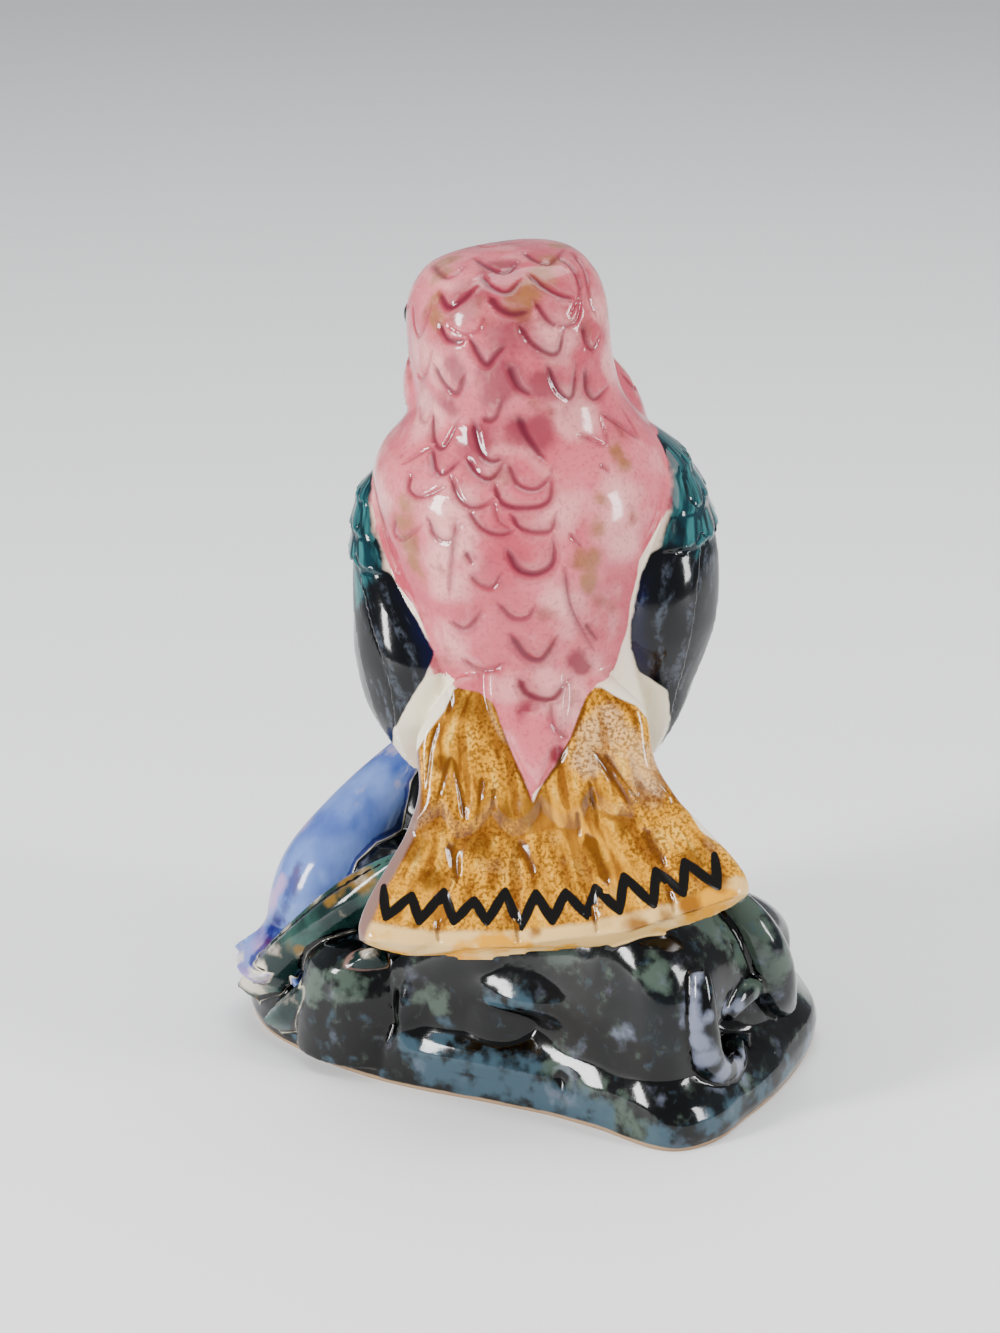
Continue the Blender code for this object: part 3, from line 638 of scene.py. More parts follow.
# The trumpet flower: a tapered tube that opens into petals round its mouth.
def addFlower(form):
    mouth = onRock(flower["mouth"])
    notch = flower["petalNotch"]
    frame = Vector(flower["facing"]).normalized().to_track_quat("Z", "Y").to_matrix()
    rings = []
    for back, radius, petal, inside in flowerSkin():
        opening = flower["petalOpening"] + flower["petalCurl"] * petal
        ring = []
        for a in ringAngles(200):
            lobe = abs(math.cos(flower["petals"] * a / 2))
            reach = flower["petalLength"] * (notch + (1 - notch) * lobe**0.7) * petal
            out = radius + reach * math.sin(opening)
            forward = reach * math.cos(opening) - flower["length"] * back
            if inside:
                out -= flower["petalThickness"] * math.cos(opening)
                forward += flower["petalThickness"] * math.sin(opening)
            bend = Vector(flower["bend"]) * flower["length"] * back * back
            ring.append(mouth + bend + frame @ Vector((out * math.cos(a), out * math.sin(a), forward)))
        rings.append(ring)
    loft(form, rings)


# The leaves: points from stalk to tip, as onRock takes them, and a half width.
leaf = {
    "ends": 0.10,
    "start": 0.06,
    "tip": 0.985,
    "fullness": 0.8,
    "lean": 0.6,
    "underWidth": 0.8,
    "thickness": 0.0022,
    "vein": 0.0005,
    "lines": {
        "nearLeaf": (
            (
                (-0.369, -0.179, 0.758), (-0.6, -0.125, 0.581), (-0.806, -0.018, 0.339),
                (-0.938, 0.143, 0.113),
            ),
            0.040,
        ),
        "lowLeaf": (
            (
                (-0.462, -0.304, 0.452), (-0.631, -0.221, 0.323), (-0.769, -0.107, 0.161),
                (-0.837, -0.018, 0.048),
            ),
            0.030,
        ),
        "frontLeaf": (
            ((-0.123, 0.64, 0.613), (0.154, 0.74, 0.542), (0.425, 0.77, 0.403), (0.64, 0.78, 0.194)),
            0.08,
        ),
    },
}


# Point on a leaf's middle line.
def leafPoint(line, share):
    rows = [(k / (len(line) - 1), *onRock(p)) for k, p in enumerate(line)]
    return Vector(follow(rows, share))


# A leaf that lies over the rock, arched across, with a groove along its middle.
def addLeaf(form, line, halfWidth):
    rows, columns = 80, 40
    rings = []
    for i in range(rows + 1):
        share = i / rows
        point = leafPoint(line, share)
        along = leafPoint(line, min(share + 0.02, 1)) - leafPoint(line, max(share - 0.02, 0))
        outward = Vector((point.x, point.y, leaf["lean"] * math.hypot(point.x, point.y)))
        acrossWay = along.cross(outward).normalized()
        up = acrossWay.cross(along).normalized()
        rounded = leaf["start"] + (1 - leaf["start"]) * share ** leaf["fullness"]
        full = math.sin(math.pi * min(rounded, leaf["tip"])) ** leaf["fullness"]
        width = halfWidth * rock["footWidth"] * (leaf["ends"] + (1 - leaf["ends"]) * full)
        upper, lower = [], []
        for k in range(columns + 1):
            across = 2 * k / columns - 1
            arch = leaf["thickness"] * (1 - across**2) ** 0.5
            vein = -leaf["vein"] * max(1 - abs(across) * 5, 0)
            upper.append(point + acrossWay * across * width + up * (arch + vein))
            lower.append(point + acrossWay * across * width * leaf["underWidth"] - up * leaf["thickness"])
        rings.append(upper + list(reversed(lower)))
    loft(form, rings)


# The feet. Their place is a share of the bird's width to each side and of its depth to the front.
feet = {
    "toeLength": 0.0058,
    "toeRadius": 0.0012,
    "toeTaper": 0.35,
    "toeDrop": 0.50,
    "place": (0.17, 0.38),
    "spread": (-24, 0, 24),
    "turn": 8,
}


# Three toes for each foot, over the front edge of the perch.
def addFeet(form):
    side, front = feet["place"]
    steps = 12
    radii = [feet["toeRadius"] * (1 - feet["toeTaper"] * k / steps) for k in range(steps + 1)]
    for foot in (-1, 1):
        ankle = onBird(foot * side, front, 0.0)
        for spread in feet["spread"]:
            turn = Matrix.Rotation(math.radians(spread - foot * feet["turn"]), 3, "Z")
            heading = turn @ Vector((0, feet["toeLength"], 0))
            drop = feet["toeDrop"] * feet["toeLength"]
            addTube(form, saggingLine(ankle, heading, drop, steps), radii, 24)


# The skin that fuses the forms: its cell, its rounding, and the triangles that it may keep
skin = {
    "cell": 0.00026,
    "roundingSteps": 7,
    "triangles": 192000,
}


# Each form's own mesh, closed and facing out, for the skin and for the glazes' places
def makeForms():
    names = ("rock", "bird", "bill", "eyes", "wings", "tail", "flower", "leaves", "feet")
    forms = {name: bmesh.new() for name in names}
    addRock(forms["rock"])
    addRidges(forms["rock"])
    for phase, row in enumerate(rock["boulders"].values()):
        addBoulder(forms["rock"], row, phase)
    addBody(forms["bird"])
    addBreast(forms["bird"])
    addFace(forms["bird"])
    addBill(forms["bill"])
    for side in (-1, 1):
        addBall(forms["eyes"], eyeCentre(side, face["eyeSunk"]), [face["eyeRadius"] * face["eyeGlaze"]] * 3)
        addWing(forms["wings"], side)
    addTail(forms["tail"])
    addFlower(forms["flower"])
    for line, halfWidth in leaf["lines"].values():
        addLeaf(forms["leaves"], line, halfWidth)
    addFeet(forms["feet"])
    for form in forms.values():
        bmesh.ops.remove_doubles(form, verts=form.verts, dist=1e-6)
        bmesh.ops.recalc_face_normals(form, faces=form.faces)
    return forms


# What the viewport would show of an object, as a plain mesh of its own
def settle(thing):
    graph = bpy.context.evaluated_depsgraph_get()
    graph.update()
    mesh = bpy.data.meshes.new_from_object(thing.evaluated_get(graph))
    thing.modifiers.clear()
    thing.data = mesh
    return thing


# One closed skin over all the forms, rounded as a glaze rounds them
def fuseForms(forms):
    joined = bmesh.new()
    for form in forms.values():
        part = bpy.data.meshes.new("part")
        form.to_mesh(part)
        joined.from_mesh(part)
        bpy.data.meshes.remove(part)
    mesh = bpy.data.meshes.new("figureSkin")
    joined.to_mesh(mesh)
    joined.free()
    figure = addObject("figureSkin", mesh)
    fuse = figure.modifiers.new("fuse", "REMESH")
    fuse.mode = "VOXEL"
    fuse.voxel_size = skin["cell"]
    rounding = figure.modifiers.new("rounding", "SMOOTH")
    rounding.factor = 0.5
    rounding.iterations = skin["roundingSteps"]
    return settle(figure)


# Cuts the skin flat where the figure stands, and closes it there
def cutFoot(figure):
    shape = bmesh.new()
    shape.from_mesh(figure.data)
    everything = list(shape.verts) + list(shape.edges) + list(shape.faces)
    cut = bmesh.ops.bisect_plane(
        shape, geom=everything, dist=1e-7, plane_co=(0, 0, 0), plane_no=(0, 0, -1), clear_outer=True
    )
    rim = [part for part in cut["geom_cut"] if isinstance(part, bmesh.types.BMEdge)]
    bmesh.ops.triangle_fill(shape, use_beauty=True, edges=rim, normal=(0, 0, -1))
    bmesh.ops.recalc_face_normals(shape, faces=shape.faces)
    shape.to_mesh(figure.data)
    shape.free()


def meshTree(mesh):
    return BVHTree.FromPolygons([v.co for v in mesh.vertices], [tuple(f.vertices) for f in mesh.polygons])


# Strokes cut into the head, the back and the tail's coverts. Each row is a stroke's thickness,
# then x and y of the places that it runs through, in pixels of the photograph
plumage = {
    "width": 0.00074,
    "depth": 0.00020,
    "lip": 0.00002,
    "step": 0.00010,
    "thickStart": 1.15,
    "thinning": 0.45,
    "cutEdge": (0.10, 1.30),
    "lipEdge": (1.1, 3.0),
    "thinnest": 5e-5,
    "farthest": 9.0,
    "head": (
        (0.9, 432, 263, 440, 273, 451, 277, 469, 263), (1.4, 439, 293, 448, 307, 462, 300, 478, 285),
        (1.6, 439, 324, 446, 338, 456, 342, 466, 340), (1.5, 469, 338, 485, 364, 496, 355, 507, 344),
        (1.1, 475, 258, 490, 268, 507, 272, 521, 258), (1.3, 481, 276, 492, 287, 508, 292, 523, 278),
        (1.8, 490, 297, 499, 308, 513, 314, 532, 311), (1.1, 524, 252, 535, 260, 550, 263, 566, 247),
        (1.2, 528, 274, 546, 288, 562, 296, 576, 299), (0.8, 557, 257, 572, 268, 580, 292, 569, 318),
        (1.2, 535, 302, 548, 320, 561, 328), (1.4, 519, 325, 534, 345, 557, 354, 564, 327),
        (1.4, 434, 366, 444, 384, 457, 393, 466, 372), (1.5, 509, 366, 518, 386, 534, 397),
        (1.3, 548, 365, 558, 390, 572, 397, 576, 361), (1.2, 585, 370, 587, 391, 596, 399, 609, 386),
        (1.0, 582, 325, 586, 342, 593, 349, 601, 334), (0.7, 413, 305, 415, 328, 421, 334, 434, 300),
        (0.6, 417, 374, 422, 378, 428, 368, 434, 344), (0.5, 412, 270, 420, 258, 432, 250),
        (0.6, 420, 405, 421, 418, 427, 421, 434, 405), (0.5, 447, 325, 462, 334, 478, 330, 487, 311),
        (0.7, 556, 326, 568, 326, 578, 318, 582, 292), (1.3, 432, 411, 434, 440, 444, 447, 460, 418),
        (1.3, 482, 419, 490, 421, 497, 416, 505, 395), (1.8, 519, 418, 528, 438, 546, 461),
        (1.5, 473, 422, 480, 450, 491, 461, 505, 457), (0.7, 601, 413, 617, 424, 637, 436, 619, 404),
        (0.6, 578, 434, 593, 440, 607, 443, 597, 410), (0.7, 432, 446, 416, 456, 401, 465),
        (0.7, 572, 252, 585, 272, 590, 300, 597, 318),
        (0.6, 449, 249, 470, 244, 487, 247, 508, 244, 530, 241),
    ),
    "back": (
        (1.2, 432, 447, 436, 469, 445, 473, 464, 457), (1.3, 466, 457, 478, 474, 492, 478, 508, 456),
        (1.0, 411, 474, 409, 490, 422, 497, 447, 486), (1.2, 450, 476, 460, 500, 475, 508, 496, 500),
        (1.3, 494, 483, 501, 502, 521, 508, 549, 501, 552, 466),
        (1.1, 508, 463, 518, 484, 537, 489, 554, 473), (1.1, 468, 511, 481, 528, 501, 535, 516, 529),
        (1.1, 511, 514, 522, 529, 550, 531, 557, 511),
        (1.6, 507, 550, 518, 569, 536, 574, 553, 563, 554, 534), (1.2, 465, 552, 473, 565),
        (0.9, 470, 576, 480, 585, 493, 587, 503, 570), (1.0, 427, 517, 435, 536, 450, 541, 462, 522),
        (0.8, 396, 520, 394, 533, 403, 539, 424, 524), (1.0, 450, 622, 464, 629, 474, 623, 483, 609),
        (1.0, 498, 604, 514, 619, 529, 617, 536, 604), (1.6, 511, 636, 527, 657, 543, 659, 559, 634),
        (0.9, 462, 659, 478, 669, 492, 670, 506, 662), (1.7, 519, 679, 528, 694, 552, 699, 568, 680),
        (0.8, 551, 702, 553, 722, 560, 733, 574, 741), (0.8, 565, 568, 570, 603, 582, 630, 595, 652),
        (0.7, 570, 534, 576, 541, 582, 547), (1.0, 585, 624, 592, 634, 598, 641),
        (0.7, 600, 465, 605, 468, 611, 473), (0.8, 456, 520, 452, 560, 449, 600),
        (0.7, 493, 498, 498, 520, 510, 528),
    ),
    "coverts": (
        (1.0, 437, 724, 430, 750, 426, 790), (1.0, 451, 756, 443, 780, 434, 811),
        (1.0, 453, 758, 460, 790, 466, 826), (1.1, 482, 777, 479, 802, 476, 826),
        (1.0, 494, 788, 493, 800, 494, 812), (0.9, 589, 780, 594, 804, 599, 830),
        (1.3, 596, 752, 613, 778, 632, 808), (1.0, 604, 754, 620, 776, 638, 800),
        (1.0, 577, 812, 578, 824, 578, 836), (1.8, 449, 844, 455, 862, 457, 884),
        (2.0, 519, 843, 527, 858, 534, 876), (2.6, 587, 836, 597, 858, 609, 886),
        (2.0, 644, 830, 654, 848, 665, 866), (1.2, 447, 690, 450, 703, 446, 716),
        (1.3, 494, 700, 503, 726, 515, 758, 528, 790, 533, 803),
        (1.3, 586, 700, 570, 738, 554, 767, 538, 789, 533, 803),
    ),
}


# Places along a stroke, each with half its width there: thick where it starts and thin at its end
def strokePlaces(points, thickness):
    places = []
    length = sum((b - a).length for a, b in zip(points, points[1:]))
    rows = [(k / (len(points) - 1), *point) for k, point in enumerate(points)]
    steps = max(int(length / plumage["step"]), 4)
    for k in range(steps + 1):
        share = k / steps
        fullness = plumage["thickStart"] - plumage["thinning"] * share
        fullness *= ease(-0.08, 0.12, share)
        fullness *= ease(-0.08, 0.2, 1 - share)
        places.append((Vector(follow(rows, share)), plumage["width"] / 2 * thickness * fullness))
    return places


# The strokes that the photograph shows, laid on the skin
def photoStrokes(skinTree, rows):
    places = []
    for thickness, *pixels in rows:
        corners = [(k, x, y) for k, (x, y) in enumerate(zip(pixels[::2], pixels[1::2]))]
        line = [follow(corners, k / 4) for k in range(4 * (len(corners) - 1) + 1)]
        points = [photoPoint(skinTree, x, y) for x, y in line]
        points = [point for point in points if point]
        if len(points) > 1:
            places += strokePlaces(points, thickness)
    return snapped(skinTree, places)


def snapped(skinTree, places):
    return [(skinTree.find_nearest(place)[0], halfWidth) for place, halfWidth in places]


# Rows of the same strokes round the sides and the front, which the photograph doesn't show
sidePlumage = {
    "headRows": (0.715, 0.765, 0.815, 0.865, 0.915, 0.955),
    "breastRows": (0.22, 0.28, 0.34, 0.40, 0.46, 0.52, 0.58, 0.64),
    "gap": 21.0,
    "half": 8.0,
    "drop": 0.030,
    "headStart": 102,
    "headCount": 8,
    "faceReach": 0.0048,
    "breastReach": 70,
}


def scallop(share, angle, half, drop):
    line = []
    for k in range(-3, 4):
        hang = drop * ((k / 3) ** 2 - 0.5)
        line.append(bodyPoint(share + hang, math.radians(angle + half * k / 3)))
    return line


# Strokes round the head, clear of the bill and the eyes
def headStrokes(skinTree):
    places = []
    billRoot = faceFrame()[0]
    eyes = [eyeCentre(side, 0.0) for side in (-1, 1)]
    clear, start = sidePlumage["faceReach"], sidePlumage["headStart"]
    for row, share in enumerate(sidePlumage["headRows"]):
        for k in range(sidePlumage["headCount"]):
            angle = start + sidePlumage["gap"] * (k + 0.5 * (row % 2))
            line = scallop(share, angle, sidePlumage["half"], sidePlumage["drop"])
            nearFace = min((point - billRoot).length for point in line)
            nearEye = min((point - eye).length for point in line for eye in eyes)
            if angle < 360 - start and nearFace > clear and nearEye > 0.5 * clear:
                places += strokePlaces(line, 0.9)
    return snapped(skinTree, places)


# Softer and wider strokes over the breast and the belly
def breastStrokes(skinTree):
    places = []
    for row, share in enumerate(sidePlumage["breastRows"]):
        for k in range(-4, 5):
            angle = 180 + 0.9 * sidePlumage["gap"] * (k + 0.5 * (row % 2))
            if abs(angle - 180) < sidePlumage["breastReach"]:
                line = scallop(share, angle, 1.15 * sidePlumage["half"], sidePlumage["drop"])
                places += strokePlaces(line, 0.8)
    return snapped(skinTree, places)


# The quills' edges down both wings and the scallops over their shoulders
def wingStrokes(skinTree):
    places = []
    slots = wing["longFeathers"] + 1
    for side in (-1, 1):
        for feather in range(1, wing["longFeathers"]):
            alongs = [wing["covertEnd"] + 0.03 + (0.95 - wing["covertEnd"]) * k / 8 for k in range(9)]
            places += strokePlaces([wingSpot(side, feather / wing["longFeathers"], a) for a in alongs], 1.0)
        for row in range(1, wing["covertRows"] + 1):
            for slot in range(slots):
                line = []
                for k in range(7):
                    across = (slot + k / 6 + 0.5 * ((row - 1) % 2)) / slots
                    hang = wing["covertScallop"] * (1 - (k / 3 - 1) ** 2)
                    along = (row + hang - wing["covertScallop"]) / wing["covertRows"] * wing["covertEnd"]
                    if 0.04 < across < 0.96:
                        line.append(wingSpot(side, across, along))
                if len(line) > 2:
                    places += strokePlaces(line, 1.0)
    return snapped(skinTree, places)


def wingSpot(side, across, along):
    return bodyPoint(*wingPlace(side, across, along))


# The zigzag line round the end of the tail
zigzag = {
    "from": -0.95,
    "to": 0.93,
    "teeth": 11,
    "low": 0.0021,
    "high": 0.0052,
    "width": 0.00098,
    "unevenness": 0.00060,
    "sway": 12,
    "seed": 4,
}


def tailSpot(across, share):
    return tailPlace() @ tailSkin(across, share)[0]


def zigzagPlaces(skinTree):
    corners = []
    chance = np.random.default_rng(zigzag["seed"])
    count = 2 * zigzag["teeth"] + 1
    for k in range(count):
        across = zigzag["from"] + (zigzag["to"] - zigzag["from"]) * k / (count - 1)
        reach = (zigzag["low"] if k % 2 else zigzag["high"]) + zigzag["unevenness"] * chance.uniform(-1, 1)
        across += zigzag["sway"] * zigzag["unevenness"] * chance.uniform(-1, 1)
        corners.append(tailSpot(across, 1 - reach / tail["length"]))
    places = []
    for start, end in zip(corners, corners[1:]):
        steps = max(int((end - start).length / plumage["step"]), 2)
        for k in range(steps):
            fullness = 0.75 + 0.4 * math.sin(math.pi * k / steps)
            places.append((start.lerp(end, k / steps), zigzag["width"] / 2 * fullness))
    return snapped(skinTree, places)


# Grooves between the tail's feathers
def tailStrokes(skinTree):
    places = []
    for feather in range(1, tail["feathers"]):
        across = 2 * feather / tail["feathers"] - 1
        line = [tailSpot(across, 0.90 + 0.10 * k / 6) for k in range(7)]
        places += strokePlaces(line, 0.8)
    return snapped(skinTree, places)


# A cloud of points, each with half the width of the stroke there, for the carving to read
def markCloud(name, places):
    mesh = bpy.data.meshes.new(name)
    mesh.from_pydata([place for place, halfWidth in places], [], [])
    widths = mesh.attributes.new("halfWidth", "FLOAT", "POINT")
    widths.data.foreach_set("value", [halfWidth for place, halfWidth in places])
    return addObject(name, mesh)


# Adds a node with its settings, each input given getting its link or its value. Gives its outputs
def addNode(tree, kind, inputs=(), **settings):
    node = tree.nodes.new(kind)
    for name, value in settings.items():
        setattr(node, name, value)
    for name, value in dict(inputs).items():
        if isinstance(value, bpy.types.NodeSocket):
            tree.links.new(value, node.inputs[name])
        else:
            node.inputs[name].default_value = value
    return node.outputs


# Geometry Nodes: sinks the skin under each stroke, and raises a soft lip beside it
def carveTree():
    tree = bpy.data.node_groups.new("carveStrokes", "GeometryNodeTree")
    for name, kind in (
        ("Geometry", "Geometry"), ("Strokes", "Object"), ("Depth", "Float"), ("Lip", "Float"),
        ("Glaze", "Material"),
    ):
        tree.interface.new_socket(name, in_out="INPUT", socket_type="NodeSocket" + kind)
    tree.interface.new_socket("Geometry", in_out="OUTPUT", socket_type="NodeSocketGeometry")
    given = addNode(tree, "NodeGroupInput")
    strokes = addNode(tree, "GeometryNodeObjectInfo", {"Object": given["Strokes"]})["Geometry"]
    nearest = addNode(tree, "GeometryNodeSampleNearest", {"Geometry": strokes}, domain="POINT")["Index"]
    place = addNode(tree, "GeometryNodeInputPosition")["Position"]
    halfWidth = addNode(
        tree, "GeometryNodeInputNamedAttribute", {"Name": "halfWidth"}, data_type="FLOAT"
    )["Attribute"]
    there = []
    for value, kind in ((place, "FLOAT_VECTOR"), (halfWidth, "FLOAT")):
        wanted = {"Geometry": strokes, "Value": value, "Index": nearest}
        there.append(addNode(tree, "GeometryNodeSampleIndex", wanted, data_type=kind)["Value"])
    away = addNode(tree, "ShaderNodeVectorMath", {0: place, 1: there[0]}, operation="DISTANCE")["Value"]
    ratio = addNode(tree, "ShaderNodeMath", {0: away, 1: there[1]}, operation="DIVIDE")["Value"]
    moves = []
    for amount, (low, high) in (("Depth", plumage["cutEdge"]), ("Lip", plumage["lipEdge"])):
        limits = {"Value": ratio, "From Min": low, "From Max": high, "To Min": 1.0, "To Max": 0.0}
        fall = addNode(tree, "ShaderNodeMapRange", limits, interpolation_type="SMOOTHSTEP")["Result"]
        pair = {0: fall, 1: given[amount]}
        moves.append(addNode(tree, "ShaderNodeMath", pair, operation="MULTIPLY")["Value"])
    height = addNode(tree, "ShaderNodeMath", {0: moves[1], 1: moves[0]}, operation="SUBTRACT")["Value"]
    normal = addNode(tree, "GeometryNodeInputNormal")["Normal"]
    scaled = {0: normal, "Scale": height}
    offset = addNode(tree, "ShaderNodeVectorMath", scaled, operation="SCALE")["Vector"]
    shape = given["Geometry"]
    for kind, wanted in (
        ("GeometryNodeSetPosition", {"Offset": offset}),
        ("GeometryNodeRealizeInstances", {}),
        ("GeometryNodeSetMaterial", {"Material": given["Glaze"]}),
    ):
        shape = addNode(tree, kind, {"Geometry": shape, **wanted})["Geometry"]
    addNode(tree, "NodeGroupOutput", {"Geometry": shape})
    return tree


def carve(figure, tree, strokes, depth, lip, glaze):
    modifier = figure.modifiers.new("carve", "NODES")
    modifier.node_group = tree
    values = {"Strokes": strokes, "Depth": depth, "Lip": lip, "Glaze": glaze}
    for socket in tree.interface.items_tree:
        if socket.in_out == "INPUT" and socket.name in values:
            modifier[socket.identifier] = values[socket.name]


# Thins the skin to the triangles that it may keep, most where it is smooth
def thin(figure):
    figure.data.calc_loop_triangles()
    lighter = figure.modifiers.new("thin", "DECIMATE")
    lighter.ratio = skin["triangles"] / len(figure.data.loop_triangles)
    lighter.use_collapse_triangulate = True
    settle(figure)


# Where the painted areas end, as the photograph shows them in pixels, and their other limits
paintedAreas = {
    "mantleLeft": (
        (366, 470), (370, 481), (376, 532), (395, 582), (418, 610), (429, 647), (436, 676), (455, 686),
        (493, 705), (506, 750), (528, 788),
    ),
    "mantleRight": (
        (668, 445), (670, 463), (668, 516), (640, 559), (631, 601), (627, 631), (613, 670), (599, 683),
        (589, 694), (571, 748), (533, 795),
    ),
    "gold": (
        (455, 687), (444, 711), (428, 732), (407, 767), (398, 800), (375, 845), (320, 940), (320, 1010),
        (770, 1010), (770, 880), (700, 830), (668, 775), (659, 732), (637, 705), (619, 697), (597, 684),
        (586, 697), (570, 738), (554, 767), (538, 789), (533, 803), (528, 789), (514, 756), (501, 722),
        (493, 703), (480, 692), (468, 690),
    ),
    "goldFront": -0.0075,
    "flanks": (
        ((624, 630), (639, 672), (667, 692), (671, 718), (661, 745), (656, 775), (636, 775), (622, 690)),
        (
            (436, 648), (424, 680), (406, 706), (394, 732), (389, 775), (402, 800), (432, 790),
            (452, 700), (450, 655),
        ),
    ),
    "flankFront": 0.0065,
    "shrink": {"bill": 0.45, "eyes": -0.05},
    "throat": ((0.655, 100), (0.70, 128), (0.74, 150), (0.78, 172), (0.81, 200)),
    "dabSpread": {
        "blueWashAndHighlight": 1.7, "greenWash": 1.9, "mauve": 1.5, "paleRoseAndHighlight": 1.3, "umber": 1.2, "navy": 1.15,
    },
    "reach": 0.004,
    "throatBlend": 0.03,
    "dabEdge": (1.15, 1.75),
    "dabRaggedness": 2.0,
    "brushEdge": (-0.10, 0.14),
    "brushScale": 260,
}


# How much nearer each point lies to one form than to any other, in millimetres
def formFields(places, trees):
    reach = paintedAreas["reach"]
    names = list(trees)
    away = np.full((len(names), len(places)), reach)
    for row, name in enumerate(names):
        find = trees[name].find_nearest
        for k, place in enumerate(places):
            hit = find(place, reach)
            if hit[0]:
                away[row, k] = hit[3]
    fields = {}
    for row, name in enumerate(names):
        others = np.min(np.delete(away, row, axis=0), axis=0)
        fields[name] = (others - away[row]) * 1000
    return fields


# A station table's values at many shares at once
def tableAt(rows, shares):
    grid = np.linspace(rows[0][0], rows[-1][0], 160)
    table = np.array([follow(rows, g) for g in grid])
    return [np.interp(shares, grid, table[:, column]) for column in range(table.shape[1])]


# Height share on the bird, angle from the spine in degrees, and distance from its middle line
def birdPlace(places):
    shares = (places[:, 2] - perch()) / bird["height"]
    side, front = tableAt(bird["stations"], shares)[:2]
    x = places[:, 0] - side * bird["width"]
    y = places[:, 1] - front * bird["depth"]
    return shares, np.degrees(np.arctan2(x, -y)), np.hypot(x, y)


def edgeAngles(skinTree, pixels):
    spots = np.array([point for point in (photoPoint(skinTree, x, y) for x, y in pixels) if point])
    shares, angles = birdPlace(spots)[:2]
    order = np.argsort(shares)
    return shares[order], angles[order]


# How far inside the pink of the head and the mantle each point lies, in millimetres
def mantleField(skinTree, places):
    shares, angles, reach = birdPlace(places)
    left = np.interp(shares, *edgeAngles(skinTree, paintedAreas["mantleLeft"]))
    right = np.interp(shares, *edgeAngles(skinTree, paintedAreas["mantleRight"]))
    lowShare, soft = paintedAreas["throat"][0][0], paintedAreas["throatBlend"]
    throat = np.interp(shares, *zip(*paintedAreas["throat"]))
    blend = np.clip((shares - lowShare + soft) / soft, 0, 1)
    left = left * (1 - blend) - throat * blend
    right = right * (1 - blend) + throat * blend
    across = np.minimum(right - angles, angles - left) * np.pi / 180 * reach * 1000
    front = places[:, 1] - bird["breast"][1] * bird["depth"]
    breast = np.maximum(-front * 1000, (shares - bird["neckHigh"] + 0.02) * bird["height"] * 1000)
    return np.minimum(across, breast)


# Pixels of the photograph that each point falls on
def photoPixels(places):
    away = places - np.array(eyePoint())
    turn = np.array(Matrix.Rotation(math.pi / 2 - photo["elevation"], 3, "X"))
    seen = away @ turn
    x = photo["width"] / 2 - photo["focalPixels"] * seen[:, 0] / seen[:, 2]
    y = photo["height"] / 2 + photo["focalPixels"] * seen[:, 1] / seen[:, 2]
    return x, y


# How far inside an outline drawn on the photograph each point falls, in millimetres
def outlineField(places, outline):
    x, y = photoPixels(places)
    scale = photo["focalPixels"] / photo["distance"] / 1000
    nearest = np.full(len(places), np.inf)
    inside = np.zeros(len(places), dtype=bool)
    for (x0, y0), (x1, y1) in zip(outline, (*outline[1:], outline[0])):
        run, rise = x1 - x0, y1 - y0
        along = np.clip(((x - x0) * run + (y - y0) * rise) / (run * run + rise * rise), 0, 1)
        nearest = np.minimum(nearest, np.hypot(x - x0 - along * run, y - y0 - along * rise))
        crosses = (y0 > y) != (y1 > y)
        if rise:
            inside ^= crosses & (x < x0 + (y - y0) * run / rise)
    return np.where(inside, nearest, -nearest) / scale


# Place on the wings: feathers across, share along, and how far inside the wing's edges
def wingFields(places):
    shares, angles, reach = birdPlace(places)
    best = [np.full(len(places), -5.0)] + [np.zeros(len(places)) for _ in range(3)]
    for side in (-1, 1):
        top, tip = wing["top"][side], wing["tip"][side]
        step = (top - shares) / (top - tip)
        rear, front = tableAt(wing["stations"][side], step)[1:]
        span = (front - rear) * np.pi / 180 * reach * 1000
        over = (angles * side - rear) / (front - rear)
        length = (top - tip) * bird["height"] * 1000
        within = np.minimum(np.minimum(over, 1 - over) * span, np.minimum(step, 1 - step) * length)
        here = within > best[0]
        best = [np.where(here, new, old) for new, old in zip((within, over, step, over * span), best)]
    return best


# Place on the tail: from -1 to 1 across, and millimetres up from its end
def tailFields(places):
    local = tailPlace().inverted()
    turned = places @ np.array(local.to_3x3()).T + np.array(local.translation)
    steps = 60
    line, along = (np.array(rows) for rows in zip(*(tailLine(k / steps) for k in range(steps + 1))))
    gaps = (turned[:, None, 1] - line[None, :, 1]) ** 2 + (turned[:, None, 2] - line[None, :, 2]) ** 2
    near = np.argmin(gaps, axis=1)
    off = turned - line[near]
    onward = off[:, 1] * along[near, 1] + off[:, 2] * along[near, 2]
    share = near / steps + onward / tail["length"]
    grid = np.linspace(0, 1, 60)
    halves = np.interp(share, grid, [follow(tail["stations"], g)[1] for g in grid]) * tail["width"] / 2
    across = turned[:, 0] / halves
    reach = 1 - tail["rounding"] * np.clip(across, -1, 1) ** 2
    fromEnd = (reach + tail["lobe"] / 2 - share) * tail["length"] * 1000
    return across, fromEnd


